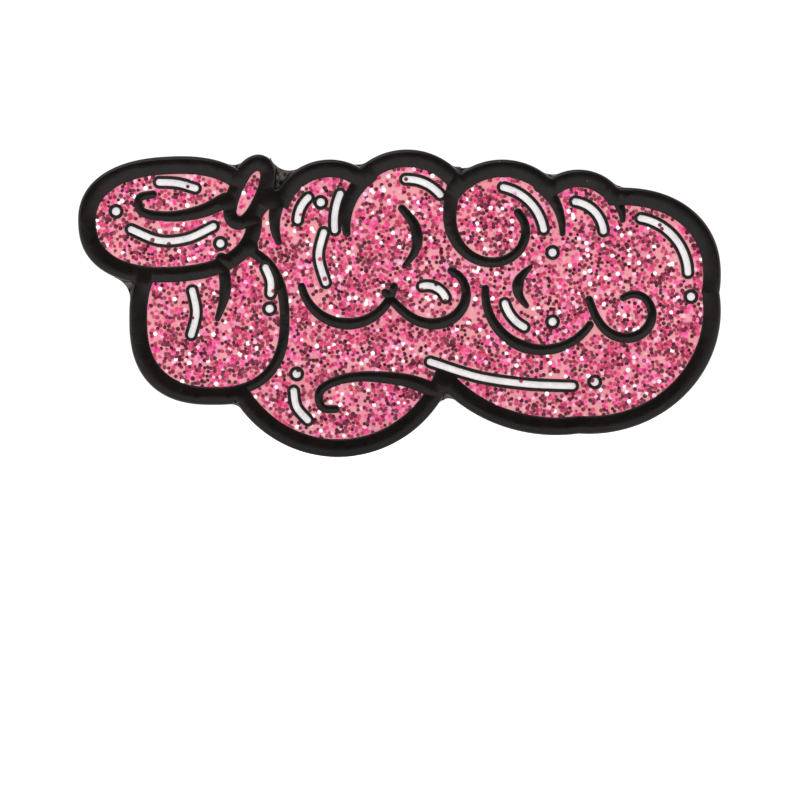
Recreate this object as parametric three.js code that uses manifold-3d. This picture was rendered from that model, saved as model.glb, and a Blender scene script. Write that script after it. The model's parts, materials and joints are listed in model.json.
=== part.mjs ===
// A cloud-shaped hard enamel pin with a post and a butterfly clutch.
//
// Millimetres, +Z up, worn on a lapel: the enamel front faces -Y, the post and its clutch point along +Y.
// The origin is where the post's axis meets the flat back of the pin.
import * as THREE from 'three';
import { mergeVertices } from 'three/addons/utils/BufferGeometryUtils.js';
import Module from 'manifold-3d';

const wasm = await Module();
wasm.setup();

// ---- Driving dimensions -------------------------------------------------------------------------------

const THICKNESS = 1.5; // back face to the top of the raised lines
const EDGE_ROUND = 0.16; // rounding of the front outer edge
const LEDGE = 1.02; // height of the plate left in the corners between two puffs
const CELL_FLOOR = 0.9; // height of the floor that the enamel is poured on
const ENAMEL_TOP = 1.46; // height of the polished enamel, just below the lines
const BORDER = 0.9; // width of the outer black line
const FINGER_BORDER = 0.84; // the same round the small upright puff
const INNER_LINE = 0.5; // width of a line between two puffs
const GAP = 0.03; // play between an enamel filling and its cell
const WHITE_HALF = 0.16; // half width of a white highlight bar
const RIM_HALF = 0.33; // half width of a highlight bar with its black rim
const DOT_WHITE = 0.2; // radius of a white highlight dot
const DOT_RIM = 0.38; // radius of a highlight dot with its black rim

const POST = { radius: 0.55, length: 8.3, headRadius: 1.7, headHeight: 0.35, tipRadius: 0.12 };
const CLUTCH_BOTTOM = 2.6; // gap for the cloth, with the clutch pushed right home
const CLUTCH_RADIUS = 5.75;
const SHEET = 0.3; // thickness of the clutch's sheet metal
const BORE = 0.8; // radius of the clutch's hole for the post
const FLANGE_RADIUS = 5.38; // the cover's edge, held inside the rolled rim
const WELL_RADIUS = 4.45; // outer edge of the cover's two side openings
const APEX = 8.75; // height of the bridge over the post's tip
const WIRE = { width: 0.55, thick: 0.28 }; // the flattened spring wire
// Spring loop: its place, its height, half its slot, and its lean in degrees.
const WING = { foot: 3.1, height: 4.7, inner: 0.5, lean: 8 };

const ARC_STEP = 0.9; // aimed length of a side along a curved outline
const LINE_STEP = 0.75; // the same along a drawn line
const END_SIDES = 3; // sides of a line's half-round end
const LEAST_QUARTER = 3; // fewest sides in a quarter of a puff's outline
const DOT_SIDES = 10; // sides of a highlight dot
const ROUND_SIDES = 36; // sides of the clutch's turned pieces
const POST_SIDES = 18; // sides of the post

// Puffs of the cloud: centre, half width, half height, tilt in degrees, and squareness (2 is an ellipse).
const PUFFS = {
  head: { x: -10.0, z: 3.3, a: 4.65, b: 3.2, tilt: 3, power: 2.35 },
  finger: { x: -6.15, z: 4.65, a: 1.15, b: 2.05, tilt: -24, power: 2.2 },
  low: { x: -7.9, z: -1.6, a: 4.2, b: 4.3, tilt: 0, power: 2.5 },
  neck: { x: -4.7, z: 2.4, a: 1.9, b: 2.5, tilt: 0, power: 2 },
  first: { x: -2.1, z: 3.25, a: 3.05, b: 3.1, tilt: 0, power: 2 },
  second: { x: 1.75, z: 3.2, a: 3.6, b: 3.65, tilt: 0, power: 2 },
  third: { x: 6.5, z: 2.75, a: 3.6, b: 3.6, tilt: 0, power: 2 },
  fourth: { x: 10.3, z: 3.25, a: 2.6, b: 2.6, tilt: 0, power: 2 },
  shoulder: { x: 12.4, z: 0.6, a: 5.0, b: 4.35, tilt: 0, power: 2.2 },
  right: { x: 10.8, z: -1.2, a: 6.6, b: 6.15, tilt: 0, power: 2 },
  tail: { x: 8.6, z: -1.95, a: 6.7, b: 5.4, tilt: -12, power: 2 },
  middle: { x: 4.2, z: 0.2, a: 3.6, b: 3.4, tilt: 0, power: 2 },
  bottom: { x: -1.7, z: -2.35, a: 6.1, b: 6.15, tilt: 0, power: 2 },
};
const FRONT_PUFFS = ['head', 'finger', 'low']; // each has an enamel cell of its own
const BACK_PUFFS = Object.keys(PUFFS).filter((name) => !FRONT_PUFFS.includes(name));

// Neighbours whose corner is filled by the lower plate, and the radius of that corner.
const CORNERS = [
  ['head', 'finger', 0.7],
  ['finger', 'first', 1.0],
  ['first', 'second', 0.9],
  ['second', 'third', 1.1],
  ['third', 'fourth', 1.0],
  ['fourth', 'shoulder', 1.3],
  ['tail', 'bottom', 0.6],
  ['bottom', 'low', 0.6],
  ['low', 'head', 1.1],
];

// ---- Lines of the drawing -----------------------------------------------------------------------------

const arc = (x, z, radius, from, to) => new THREE.EllipseCurve(
  x, z, radius, radius, THREE.MathUtils.degToRad(from), THREE.MathUtils.degToRad(to), to < from);

const through = (...points) => new THREE.SplineCurve(points.map(([x, z]) => new THREE.Vector2(x, z)));

/** A curl that turns from one angle to another while its radius shrinks. */
function curl(x, z, from, to, startRadius, endRadius) {
  const points = [];
  const turns = 10;
  for (let i = 0; i <= turns; i += 1) {
    const t = i / turns;
    const angle = THREE.MathUtils.degToRad(from + (to - from) * t);
    const radius = startRadius + (endRadius - startRadius) * Math.sqrt(t);
    points.push([x + radius * Math.cos(angle), z + radius * Math.sin(angle)]);
  }
  return through(...points);
}

// Each raised line: its path, then its half width at the start, the middle and the end.
const LINES = [
  { path: arc(1.75, 3.2, 3.05, 128, 190), half: [0.45, 0.34, 0.2] },
  { path: curl(6.3, 3.0, 128, 395, 3.3, 1.2), half: [0.4, 0.27, 0.22] },
  { path: arc(6.5, 2.75, 3.0, 50, -2), half: [0.4, 0.26, 0.15] },
  { path: arc(10.3, 3.25, 2.2, 44, 2), half: [0.4, 0.26, 0.15] },
  { path: arc(-2.1, 3.25, 2.75, 150, 202), half: [0.4, 0.3, 0.18] },
  { path: arc(-1.2, 0.5, 2.35, 192, 348), half: [0.2, 0.3, 0.2] },
  { path: curl(3.4, -0.1, 184, 418, 2.75, 1.05), half: [0.2, 0.3, 0.2] },
  { path: arc(8.5, -0.3, 2.85, 176, 326), half: [0.2, 0.3, 0.2] },
  { path: curl(12.9, -1.2, 165, 480, 2.15, 0.75), half: [0.2, 0.27, 0.18] },
  { path: through([1.5, 3.9], [2.15, 3.0], [2.2, 1.9], [1.6, 1.0]), half: [0.2, 0.3, 0.12] },
  { path: through([7.9, 1.0], [7.35, 0.35], [7.3, -0.35], [7.7, -0.95]), half: [0.12, 0.3, 0.14] },
  { path: through([-7.5, 1.4], [-7.3, 0.2], [-7.4, -0.7], [-7.7, -1.6]), half: [0.3, 0.3, 0.14] },
  { path: through([3.4, -5.3], [1.6, -4.65], [-0.9, -4.5], [-2.5, -5.1], [-2.5, -6.0], [-1.8, -6.1]),
    half: [0.4, 0.26, 0.2] },
  { path: through([-7.3, 4.3], [-8.5, 3.75], [-10.0, 3.5], [-11.4, 3.7], [-11.6, 4.4], [-10.9, 4.6]),
    half: [0.4, 0.26, 0.2] },
];

// White highlight bars, by the place they shine on.
const BARS = {
  head_top: through([-10.6, 5.2], [-9.7, 5.15], [-8.8, 4.9]),
  head_belly: through([-12.0, 2.85], [-10.6, 2.3], [-9.2, 2.4], [-7.9, 3.0]),
  first_left: arc(-2.1, 3.25, 1.6, 132, 178),
  first_right: arc(1.75, 3.2, 3.62, 157, 186),
  neck: through([-2.4, 2.7], [-2.65, 1.5], [-2.3, 0.2]),
  low_left: through([-8.95, -0.2], [-8.75, -1.3], [-9.0, -2.4]),
  low_right: through([-5.3, 0.95], [-5.05, 0.3], [-5.05, -0.35]),
  bottom: through([-3.9, -5.2], [-3.75, -6.0], [-3.2, -6.65]),
  second: arc(1.75, 3.2, 2.15, 92, 40),
  third: arc(6.0, 2.4, 2.6, 78, 10),
  fourth: arc(9.9, 2.6, 1.65, 82, 6),
  shoulder: arc(12.9, 0.6, 2.85, 80, 2),
  scale_middle: arc(2.75, -0.95, 1.0, 104, 24),
  scale_right: arc(8.5, -0.3, 1.95, 196, 242),
  tail: through([2.9, -3.75], [5.3, -4.5], [7.7, -4.85], [10.0, -4.95]),
};

// White highlight dots: centre x and z.
const DOTS = {
  head_left: [-12.75, 3.75],
  head_right: [-7.55, 2.15],
  first: [-2.55, 4.2],
  low: [-5.1, -1.1],
  bottom: [-3.75, -4.35],
  third: [9.0, 1.7],
  shoulder: [15.9, -0.5],
  scale: [9.0, -1.75],
  tail: [11.1, -4.75],
};

// ---- Flat outlines ------------------------------------------------------------------------------------

/** The outline of a puff, shrunk by inset all round. */
function puffOutline(puff, inset = 0) {
  const a = puff.a - inset;
  const b = puff.b - inset;
  const count = 4 * Math.max(LEAST_QUARTER, Math.round((Math.PI * (a + b)) / ARC_STEP / 4));
  const tilt = THREE.MathUtils.degToRad(puff.tilt);
  const points = [];
  for (let i = 0; i < count; i += 1) {
    const angle = (2 * Math.PI * i) / count;
    const c = Math.cos(angle);
    const s = Math.sin(angle);
    const u = a * Math.sign(c) * Math.abs(c) ** (2 / puff.power);
    const v = b * Math.sign(s) * Math.abs(s) ** (2 / puff.power);
    points.push(new THREE.Vector2(u, v).rotateAround(new THREE.Vector2(), tilt)
      .add(new THREE.Vector2(puff.x, puff.z)));
  }
  return points;
}

/** The width of the black line round a puff. */
const borderOf = (name) => (name === 'finger' ? FINGER_BORDER : BORDER);

/** How far a point is outside (above 1) or inside (below 1) a puff grown by reach. */
function level(puff, reach, point) {
  const local = point.clone().sub(new THREE.Vector2(puff.x, puff.z))
    .rotateAround(new THREE.Vector2(), -THREE.MathUtils.degToRad(puff.tilt));
  return Math.abs(local.x / (puff.a + reach)) ** puff.power
    + Math.abs(local.y / (puff.b + reach)) ** puff.power;
}

/** The direction straight out of a puff at a point near its edge. */
function outward(puff, point) {
  const step = 1e-3;
  const dx = level(puff, 0, new THREE.Vector2(point.x + step, point.y));
  const dz = level(puff, 0, new THREE.Vector2(point.x, point.y + step));
  const here = level(puff, 0, point);
  return new THREE.Vector2(dx - here, dz - here).normalize();
}

/** The open point that is radius away from two neighbouring puffs, outside every other one. */
function cornerCentre(first, second, radius) {
  const path = puffOutline(first, -radius);
  const others = Object.values(PUFFS).filter((puff) => puff !== first && puff !== second);
  for (let i = 0; i < path.length; i += 1) {
    const here = path[i];
    const next = path[(i + 1) % path.length];
    const before = level(second, radius, here) - 1;
    const after = level(second, radius, next) - 1;
    if (before * after <= 0) {
      const point = here.clone().lerp(next, before / (before - after));
      if (others.every((puff) => level(puff, 0, point) > 1)) return point;
    }
  }
  throw new Error('two neighbouring puffs have no open corner');
}

/** The patch of plate that rounds off the corner between two puffs. */
function cornerOutline(first, second, radius) {
  const centre = cornerCentre(first, second, radius);
  const start = outward(first, centre).negate().angle();
  let turn = outward(second, centre).negate().angle() - start;
  if (turn > Math.PI) turn -= 2 * Math.PI;
  if (turn < -Math.PI) turn += 2 * Math.PI;
  const sides = 6;
  const points = [new THREE.Vector2(first.x, first.z)];
  for (let i = 0; i <= sides; i += 1) {
    const angle = start + (turn * i) / sides;
    points.push(new THREE.Vector2(Math.cos(angle), Math.sin(angle)).multiplyScalar(radius).add(centre));
  }
  points.push(new THREE.Vector2(second.x, second.z));
  return points;
}

/** The outline of a brush line along a path, with round ends. half is [start, middle, end]. */
function lineOutline(path, half, grow = 0) {
  const steps = Math.max(4, Math.round(path.getLength() / LINE_STEP));
  const widthAt = (t) => grow + (t < 0.5
    ? THREE.MathUtils.lerp(half[0], half[1], t * 2)
    : THREE.MathUtils.lerp(half[1], half[2], t * 2 - 1));
  const left = [];
  const right = [];
  for (let i = 0; i <= steps; i += 1) {
    const t = i / steps;
    const side = path.getTangentAt(t).rotateAround(new THREE.Vector2(), Math.PI / 2);
    const point = path.getPointAt(t);
    left.push(point.clone().addScaledVector(side, widthAt(t)));
    right.push(point.clone().addScaledVector(side, -widthAt(t)));
  }
  const cap = (t, from) => {
    const along = path.getTangentAt(t).angle();
    const points = [];
    for (let i = 1; i < END_SIDES; i += 1) {
      const angle = along + from - (Math.PI * i) / END_SIDES;
      points.push(new THREE.Vector2(Math.cos(angle), Math.sin(angle)).multiplyScalar(widthAt(t))
        .add(path.getPointAt(t)));
    }
    return points;
  };
  return [...left, ...cap(1, Math.PI / 2), ...right.reverse(), ...cap(0, -Math.PI / 2)];
}

/** The outline of a highlight dot. */
function circleOutline([x, z], radius) {
  return new THREE.EllipseCurve(x, z, radius, radius).getSpacedPoints(DOT_SIDES).slice(0, DOT_SIDES);
}

// ---- Solids -------------------------------------------------------------------------------------------

/** A three.js geometry as a solid that can be joined and cut. */
function solid(geometry) {
  const bare = geometry.index ? geometry.toNonIndexed() : geometry.clone();
  bare.deleteAttribute('normal');
  bare.deleteAttribute('uv');
  const merged = mergeVertices(bare, 1e-5);
  return new wasm.Manifold(new wasm.Mesh({
    numProp: 3,
    vertProperties: new Float32Array(merged.attributes.position.array),
    triVerts: new Uint32Array(merged.index.array),
  }));
}

const joined = (solids) => solids.reduce((whole, piece) => whole.add(piece));

/** A flat outline given thickness: from one height above the back face to another. */
function slab(outline, low, high) {
  const geometry = new THREE.ExtrudeGeometry(new THREE.Shape(outline),
    { depth: high - low, bevelEnabled: false, steps: 1 });
  return solid(geometry.rotateX(Math.PI / 2).translate(0, -low, 0));
}

/** A puff of the full thickness, with its front edge rounded. */
function puffBlock(puff) {
  const buried = 0.5; // its rear rounding is cut away below the back face
  const geometry = new THREE.ExtrudeGeometry(new THREE.Shape(puffOutline(puff)), {
    depth: THICKNESS + buried - 2 * EDGE_ROUND,
    steps: 1,
    bevelEnabled: true,
    bevelThickness: EDGE_ROUND,
    bevelSize: EDGE_ROUND,
    bevelOffset: -EDGE_ROUND,
    bevelSegments: 1,
  });
  return solid(geometry.rotateX(Math.PI / 2).translate(0, buried - EDGE_ROUND, 0));
}

/** All raised lines, highlight rims included, as one solid grown by grow. */
function raisedLines(low, high, grow) {
  return joined([
    ...LINES.map(({ path, half }) => slab(lineOutline(path, half, grow), low, high)),
    ...Object.values(BARS).map((path) => slab(lineOutline(path, Array(3).fill(RIM_HALF), grow), low, high)),
    ...Object.values(DOTS).map((centre) => slab(circleOutline(centre, DOT_RIM + grow), low, high)),
  ]);
}

/** The enamel cells between two heights, shrunk by play all round. Keys are head, finger, low and cloud. */
function cells(low, high, play) {
  const lines = raisedLines(low - 0.1, high + 0.1, play);
  const inner = (name) => slab(puffOutline(PUFFS[name], borderOf(name) + play), low, high);
  const cover = (name, inset) => slab(puffOutline(PUFFS[name], inset - play), low - 0.1, high + 0.1);
  const overlap = 0.12; // a front puff's own line is this much narrower over the enamel behind it
  const head = inner('head').subtract(cover('finger', overlap));
  const lowPuff = inner('low').subtract(cover('head', overlap)).subtract(cover('finger', overlap));
  const behind = [cover('head', overlap), cover('finger', overlap), cover('low', BORDER - INNER_LINE)];
  const cloud = behind.reduce((rest, front) => rest.subtract(front), joined(BACK_PUFFS.map(inner)));
  return {
    head: head.subtract(lines),
    finger: inner('finger').subtract(lines),
    low: lowPuff.subtract(lines),
    cloud: cloud.subtract(lines),
  };
}

/** The struck metal body: every puff and corner plate, with the cells and highlight pockets cut out. */
function pinBody() {
  const over = 0.3; // how far cutting tools stand above the face
  const plates = CORNERS.map(([first, second, radius]) => (
    slab(cornerOutline(PUFFS[first], PUFFS[second], radius), 0, LEDGE)));
  const blocks = Object.values(PUFFS).map(puffBlock);
  const frontHalf = new THREE.BoxGeometry(60, 4, 40).translate(0, -2, 0);
  let body = joined([...blocks, ...plates]).intersect(solid(frontHalf));
  for (const cell of Object.values(cells(CELL_FLOOR, THICKNESS + over, 0))) body = body.subtract(cell);
  for (const path of Object.values(BARS)) {
    const pocket = lineOutline(path, Array(3).fill(WHITE_HALF));
    body = body.subtract(slab(pocket, CELL_FLOOR, THICKNESS + over));
  }
  for (const centre of Object.values(DOTS)) {
    body = body.subtract(slab(circleOutline(centre, DOT_WHITE), CELL_FLOOR, THICKNESS + over));
  }
  return body;
}

const ENAMEL_LOW = CELL_FLOOR + GAP; // underside of every filling
const barFilling = (path) => slab(lineOutline(path, Array(3).fill(WHITE_HALF), -GAP), ENAMEL_LOW, ENAMEL_TOP);
const dotFilling = (centre) => slab(circleOutline(centre, DOT_WHITE - GAP), ENAMEL_LOW, ENAMEL_TOP);

/** The nail-shaped post: a flat head against the back, a shank with a grip groove, and a pointed tip. */
function post() {
  const { radius, length, headRadius, headHeight, tipRadius } = POST;
  const groove = { from: 6.2, to: 6.8, depth: 0.12 };
  const tipLength = 1.1;
  const profile = [
    [0, GAP], [headRadius, GAP], [headRadius, headHeight * 0.6], [headRadius - 0.2, headHeight],
    [radius + 0.12, headHeight], [radius, headHeight + 0.15],
    [radius, groove.from], [radius - groove.depth, groove.from + 0.15],
    [radius - groove.depth, groove.to - 0.15], [radius, groove.to],
    [radius, length - tipLength], [tipRadius, length - 0.05], [0, length],
  ].map(([r, y]) => new THREE.Vector2(r, y));
  return new THREE.LatheGeometry(profile, POST_SIDES);
}

/** A profile of [radius, height] pairs turned round the post's axis. */
const turned = (profile) => (
  new THREE.LatheGeometry(profile.map(([r, y]) => new THREE.Vector2(r, y)), ROUND_SIDES));

/** The clutch's flat base, whose edge is rolled over the cover's flange. */
function clutchBase() {
  const y = CLUTCH_BOTTOM;
  const r = CLUTCH_RADIUS;
  const profile = [
    [BORE, y], [r - 0.55, y], [r - 0.16, y + 0.16], [r, y + 0.5], [r - 0.05, y + 0.82],
    [r - 0.25, y + 1.02], [r - 0.5, y + 1.05], [r - 0.72, y + 0.98], [r - 0.72, y + 0.76],
    [r - 0.45, y + 0.78], [r - 0.3, y + 0.6], [r - 0.34, y + 0.4], [r - 0.62, y + SHEET],
    [BORE, y + SHEET], [BORE, y],
  ];
  return turned(profile);
}

/** A point on the cover's outer skin: 0 is its foot at the well's edge, 1 the top of the bridge. */
function coverSkin(t) {
  const foot = CLUTCH_BOTTOM + 1.0;
  const swell = Math.sin((Math.PI / 2) * t ** 1.35);
  return new THREE.Vector2(WELL_RADIUS * (1 - t), foot + (APEX - foot) * swell);
}

/** Half the width of the bridge strap, at a distance from the middle of the bridge. */
const strapHalf = (z) => 0.75 + 2.3 * (z / WELL_RADIUS) ** 2;

/** The outline of one side opening: between the strap's curved edge and the well's round edge. */
function openingOutline(side) {
  let reach = 0; // how far along the bridge its edge runs before it meets the well's edge
  while (Math.hypot(strapHalf(reach), reach) < WELL_RADIUS - 0.05) reach += 0.01;
  const steps = 10;
  const limit = Math.asin(reach / WELL_RADIUS);
  const edge = [];
  const wall = [];
  for (let i = 0; i <= steps; i += 1) {
    const share = -1 + (2 * i) / steps;
    edge.push(new THREE.Vector2(side * strapHalf(reach * share), reach * share));
    const angle = -limit * share;
    wall.push(new THREE.Vector2(Math.cos(angle) * side, Math.sin(angle)).multiplyScalar(WELL_RADIUS));
  }
  return [...edge, ...wall.slice(1, -1)];
}

/** The clutch's cover: a flange, a bell-shaped shell, and two openings that leave a bridge. */
function clutchCover() {
  const y = CLUTCH_BOTTOM;
  const steps = 9;
  const top = [];
  const under = [];
  for (let i = 0; i < steps; i += 1) {
    const t = i / steps;
    const here = coverSkin(t);
    const inward = coverSkin(t + 0.01).sub(here).rotateAround(new THREE.Vector2(), Math.PI / 2);
    const below = here.clone().addScaledVector(inward.normalize(), SHEET);
    top.push([here.x, here.y]);
    if (below.x > 0.2) under.unshift([below.x, below.y]);
  }
  const profile = [
    [0, APEX - SHEET], ...under,
    [WELL_RADIUS - 0.1, y + 0.42], [FLANGE_RADIUS - 0.12, y + 0.42], [FLANGE_RADIUS, y + 0.52],
    [FLANGE_RADIUS - 0.1, y + 0.68], [WELL_RADIUS + 0.5, y + 0.68], [WELL_RADIUS + 0.35, y + 0.95],
    ...top, [0, APEX],
  ];
  let cover = solid(turned(profile));
  for (const side of [-1, 1]) {
    cover = cover.subtract(slab(openingOutline(side), -APEX - 1, 0));
  }
  return cover;
}

/** The spring inside the clutch: a flat loop of wire that grips both sides of the post. */
function clutchSpring() {
  const half = POST.radius + 0.06;
  const end = WING.foot - 0.12;
  const outline = new THREE.Shape(raceTrack(end, half + WIRE.width));
  outline.holes.push(new THREE.Path(raceTrack(end - WIRE.width, half)));
  const geometry = new THREE.ExtrudeGeometry(outline, { depth: WIRE.thick, bevelEnabled: false, steps: 1 });
  return geometry.rotateX(Math.PI / 2).translate(0, CLUTCH_BOTTOM + SHEET + 0.04 + WIRE.thick, 0);
}

/** A long outline with round ends: its half length and its half width. */
function raceTrack(halfLength, halfWidth) {
  const sides = 6;
  const points = [];
  for (const side of [1, -1]) {
    for (let i = 0; i <= sides; i += 1) {
      const angle = Math.PI * (i / sides - 0.5 * side);
      points.push(new THREE.Vector2(Math.cos(angle), Math.sin(angle)).multiplyScalar(halfWidth)
        .add(new THREE.Vector2(side * (halfLength - halfWidth), 0)));
    }
  }
  return points;
}

/** A finger loop of the spring, up through a side opening. side is 1 on the right, -1 on the left. */
function clutchWing(side) {
  const outer = WING.inner + WIRE.width;
  const straight = WING.height - outer;
  const shape = new THREE.Shape();
  shape.moveTo(outer, 0);
  shape.lineTo(outer, straight);
  shape.absarc(0, straight, outer, 0, Math.PI);
  shape.lineTo(-outer, 0);
  shape.lineTo(-WING.inner, 0);
  shape.lineTo(-WING.inner, straight);
  shape.absarc(0, straight, WING.inner, Math.PI, 0, true);
  shape.lineTo(WING.inner, 0);
  const geometry = new THREE.ExtrudeGeometry(shape,
    { depth: WIRE.thick, bevelEnabled: false, steps: 1, curveSegments: 8 });
  geometry.rotateY(Math.PI / 2);
  geometry.translate(-WIRE.thick / 2, 0, 0);
  geometry.rotateZ(-side * THREE.MathUtils.degToRad(WING.lean));
  return geometry.translate(side * (WING.foot + WIRE.thick / 2), CLUTCH_BOTTOM + SHEET + 0.1, 0);
}

// ---- Materials and assembly ---------------------------------------------------------------------------

const BLACK = { color: 0x16130f, roughness: 0.3, metalness: 0.2 };
const PINK = { color: 0xdf929e, roughness: 0.2, metalness: 0.0 };
const WHITE = { color: 0xe6e2e1, roughness: 0.2, metalness: 0.0 };
const NICKEL = { color: 0xc9c2b4, roughness: 0.22, metalness: 1.0 };

const pin = new THREE.Group();

/** Adds a named mesh to its group, from a geometry or from a cut solid. */
function place(parent, name, shape, look) {
  let geometry = shape;
  if (!shape.isBufferGeometry) {
    const { vertProperties, triVerts } = shape.getMesh();
    geometry = new THREE.BufferGeometry();
    geometry.setAttribute('position', new THREE.BufferAttribute(vertProperties, 3));
    geometry.setIndex(new THREE.BufferAttribute(triVerts, 1));
    geometry.computeVertexNormals();
  }
  const mesh = new THREE.Mesh(geometry, new THREE.MeshStandardMaterial(look));
  mesh.name = name;
  parent.add(mesh);
}

place(pin, 'pin_body', pinBody(), BLACK);
for (const [name, cell] of Object.entries(cells(ENAMEL_LOW, ENAMEL_TOP, GAP))) {
  place(pin, `enamel_${name}`, cell, PINK);
}
for (const [name, path] of Object.entries(BARS)) place(pin, `highlight_bar_${name}`, barFilling(path), WHITE);
for (const [name, centre] of Object.entries(DOTS)) {
  place(pin, `highlight_dot_${name}`, dotFilling(centre), WHITE);
}
place(pin, 'post', post(), NICKEL);

const clutch = new THREE.Group();
place(clutch, 'clutch_base', clutchBase(), NICKEL);
place(clutch, 'clutch_cover', clutchCover(), NICKEL);
place(clutch, 'clutch_spring', clutchSpring(), NICKEL);
place(clutch, 'clutch_wing_left', clutchWing(-1), NICKEL);
place(clutch, 'clutch_wing_right', clutchWing(1), NICKEL);
pin.add(clutch);

export default pin;
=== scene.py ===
"""The finished look of a hard enamel pin with a butterfly clutch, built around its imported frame.

The enamel front faces -Y and the post with its clutch points along +Y. Plans are drawn in millimetres in the
XZ plane and become metres when they are made into meshes.
"""

import json
import logging
import math
from collections.abc import Callable, Iterable, Iterator
from contextlib import contextmanager
from dataclasses import dataclass, field
from enum import Enum

import bmesh
import bpy
import numpy as np
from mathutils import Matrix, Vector, kdtree
from mathutils.bvhtree import BVHTree
from mathutils.geometry import delaunay_2d_cdt

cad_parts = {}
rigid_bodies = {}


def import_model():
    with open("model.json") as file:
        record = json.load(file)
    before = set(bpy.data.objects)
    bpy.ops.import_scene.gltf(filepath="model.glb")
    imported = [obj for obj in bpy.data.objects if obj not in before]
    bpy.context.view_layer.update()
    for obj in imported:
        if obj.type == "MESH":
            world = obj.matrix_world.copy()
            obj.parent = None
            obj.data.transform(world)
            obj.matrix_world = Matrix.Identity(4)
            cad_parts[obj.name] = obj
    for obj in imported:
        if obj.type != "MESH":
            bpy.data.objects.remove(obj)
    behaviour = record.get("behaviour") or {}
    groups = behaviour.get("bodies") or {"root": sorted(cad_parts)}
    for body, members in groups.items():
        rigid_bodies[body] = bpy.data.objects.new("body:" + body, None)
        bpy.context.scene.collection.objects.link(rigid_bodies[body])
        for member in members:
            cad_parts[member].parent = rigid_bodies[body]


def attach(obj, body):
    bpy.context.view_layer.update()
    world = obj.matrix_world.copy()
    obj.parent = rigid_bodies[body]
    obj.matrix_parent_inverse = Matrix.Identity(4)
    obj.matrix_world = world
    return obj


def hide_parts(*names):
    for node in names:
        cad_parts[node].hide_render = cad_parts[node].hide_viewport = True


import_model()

LOG = logging.getLogger("enamel_pin")
MM = 0.001
WELD = 1e-7  # metres; corners closer than this are one


class Slot(Enum):
    """The record's material slots."""

    BLACK = "black_plating"
    PINK = "pink_enamel"
    WHITE = "white_enamel"
    POST = "post_nickel"
    CLUTCH = "clutch_nickel"


class Body(Enum):
    """The bodies that pieces ride on."""

    PIN = "pin"
    CLUTCH = "clutch"
    WING_LEFT = "wing_left"
    WING_RIGHT = "wing_right"


# ---- Flat curves --------------------------------------------------------------------------------------


def arc(x: float, z: float, radius: float, start: float, end: float) -> np.ndarray:
    """A circular path.

    Args:
        x: Centre across.
        z: Centre up.
        radius: Radius of the path.
        start: First angle in degrees.
        end: Last angle in degrees.

    Returns:
        Points along the path.
    """
    angle = np.radians(np.linspace(start, end, 121))
    return np.stack([x + radius * np.cos(angle), z + radius * np.sin(angle)], 1)


def through(*points: tuple[float, float]) -> np.ndarray:
    """A smooth path through some points.

    Args:
        *points: The points in order.

    Returns:
        Points along the path.
    """
    knots = np.array([points[0], *points, points[-1]], float)
    t = np.linspace(0, 1, 25)[:, None]
    spans = []
    for p0, p1, p2, p3 in zip(knots, knots[1:], knots[2:], knots[3:]):
        v0, v1 = (p2 - p0) / 2, (p3 - p1) / 2
        span = (2 * p1 - 2 * p2 + v0 + v1) * t**3 + (3 * p2 - 3 * p1 - 2 * v0 - v1) * t**2 + v0 * t + p1
        spans.append(span[:-1])
    return np.vstack([*spans, knots[-1:]])


def curl(x: float, z: float, start: float, end: float, first: float, last: float) -> np.ndarray:
    """A path that turns while its radius shrinks.

    Args:
        x: Centre across.
        z: Centre up.
        start: First angle in degrees.
        end: Last angle in degrees.
        first: Radius at the start.
        last: Radius at the end.

    Returns:
        Points along the path.
    """
    t = np.linspace(0, 1, 11)
    angle = np.radians(start + (end - start) * t)
    radius = first + (last - first) * np.sqrt(t)
    return through(*zip(x + radius * np.cos(angle), z + radius * np.sin(angle)))


def circle(x: float, z: float, radius: float, sides: int = 36) -> np.ndarray:
    """A round outline, counterclockwise."""
    angle = np.arange(sides) * 2 * math.pi / sides
    return np.stack([x + radius * np.cos(angle), z + radius * np.sin(angle)], 1)


@dataclass(frozen=True)
class Stroke:
    """A brush line with round ends that widens and narrows along its path."""

    path: np.ndarray
    half: tuple[float, float, float]

    def outline(self, step: float = 0.12, end_sides: int = 12) -> np.ndarray:
        """The line's outline.

        Args:
            step: Aimed length of a side.
            end_sides: Sides of each half-round end.

        Returns:
            The outline's points.
        """
        gaps = np.linalg.norm(np.diff(self.path, axis=0), axis=1)
        run = np.concatenate([[0], np.cumsum(gaps)]) / gaps.sum()
        t = np.linspace(0, 1, max(8, round(gaps.sum() / step)) + 1)
        point = np.stack([np.interp(t, run, self.path[:, i]) for i in (0, 1)], 1)
        along = np.gradient(point, axis=0)
        along /= np.linalg.norm(along, axis=1)[:, None]
        side = np.stack([-along[:, 1], along[:, 0]], 1)
        width = np.interp(t, (0, 0.5, 1), self.half)[:, None]
        caps = []
        for i, turn in ((-1, math.pi / 2), (0, -math.pi / 2)):
            heading = math.atan2(along[i, 1], along[i, 0]) + turn
            angle = heading - math.pi * np.arange(1, end_sides) / end_sides
            caps.append(point[i] + width[i] * np.stack([np.cos(angle), np.sin(angle)], 1))
        return np.vstack([point + side * width, caps[0], (point - side * width)[::-1], caps[1]])[::-1]


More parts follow.
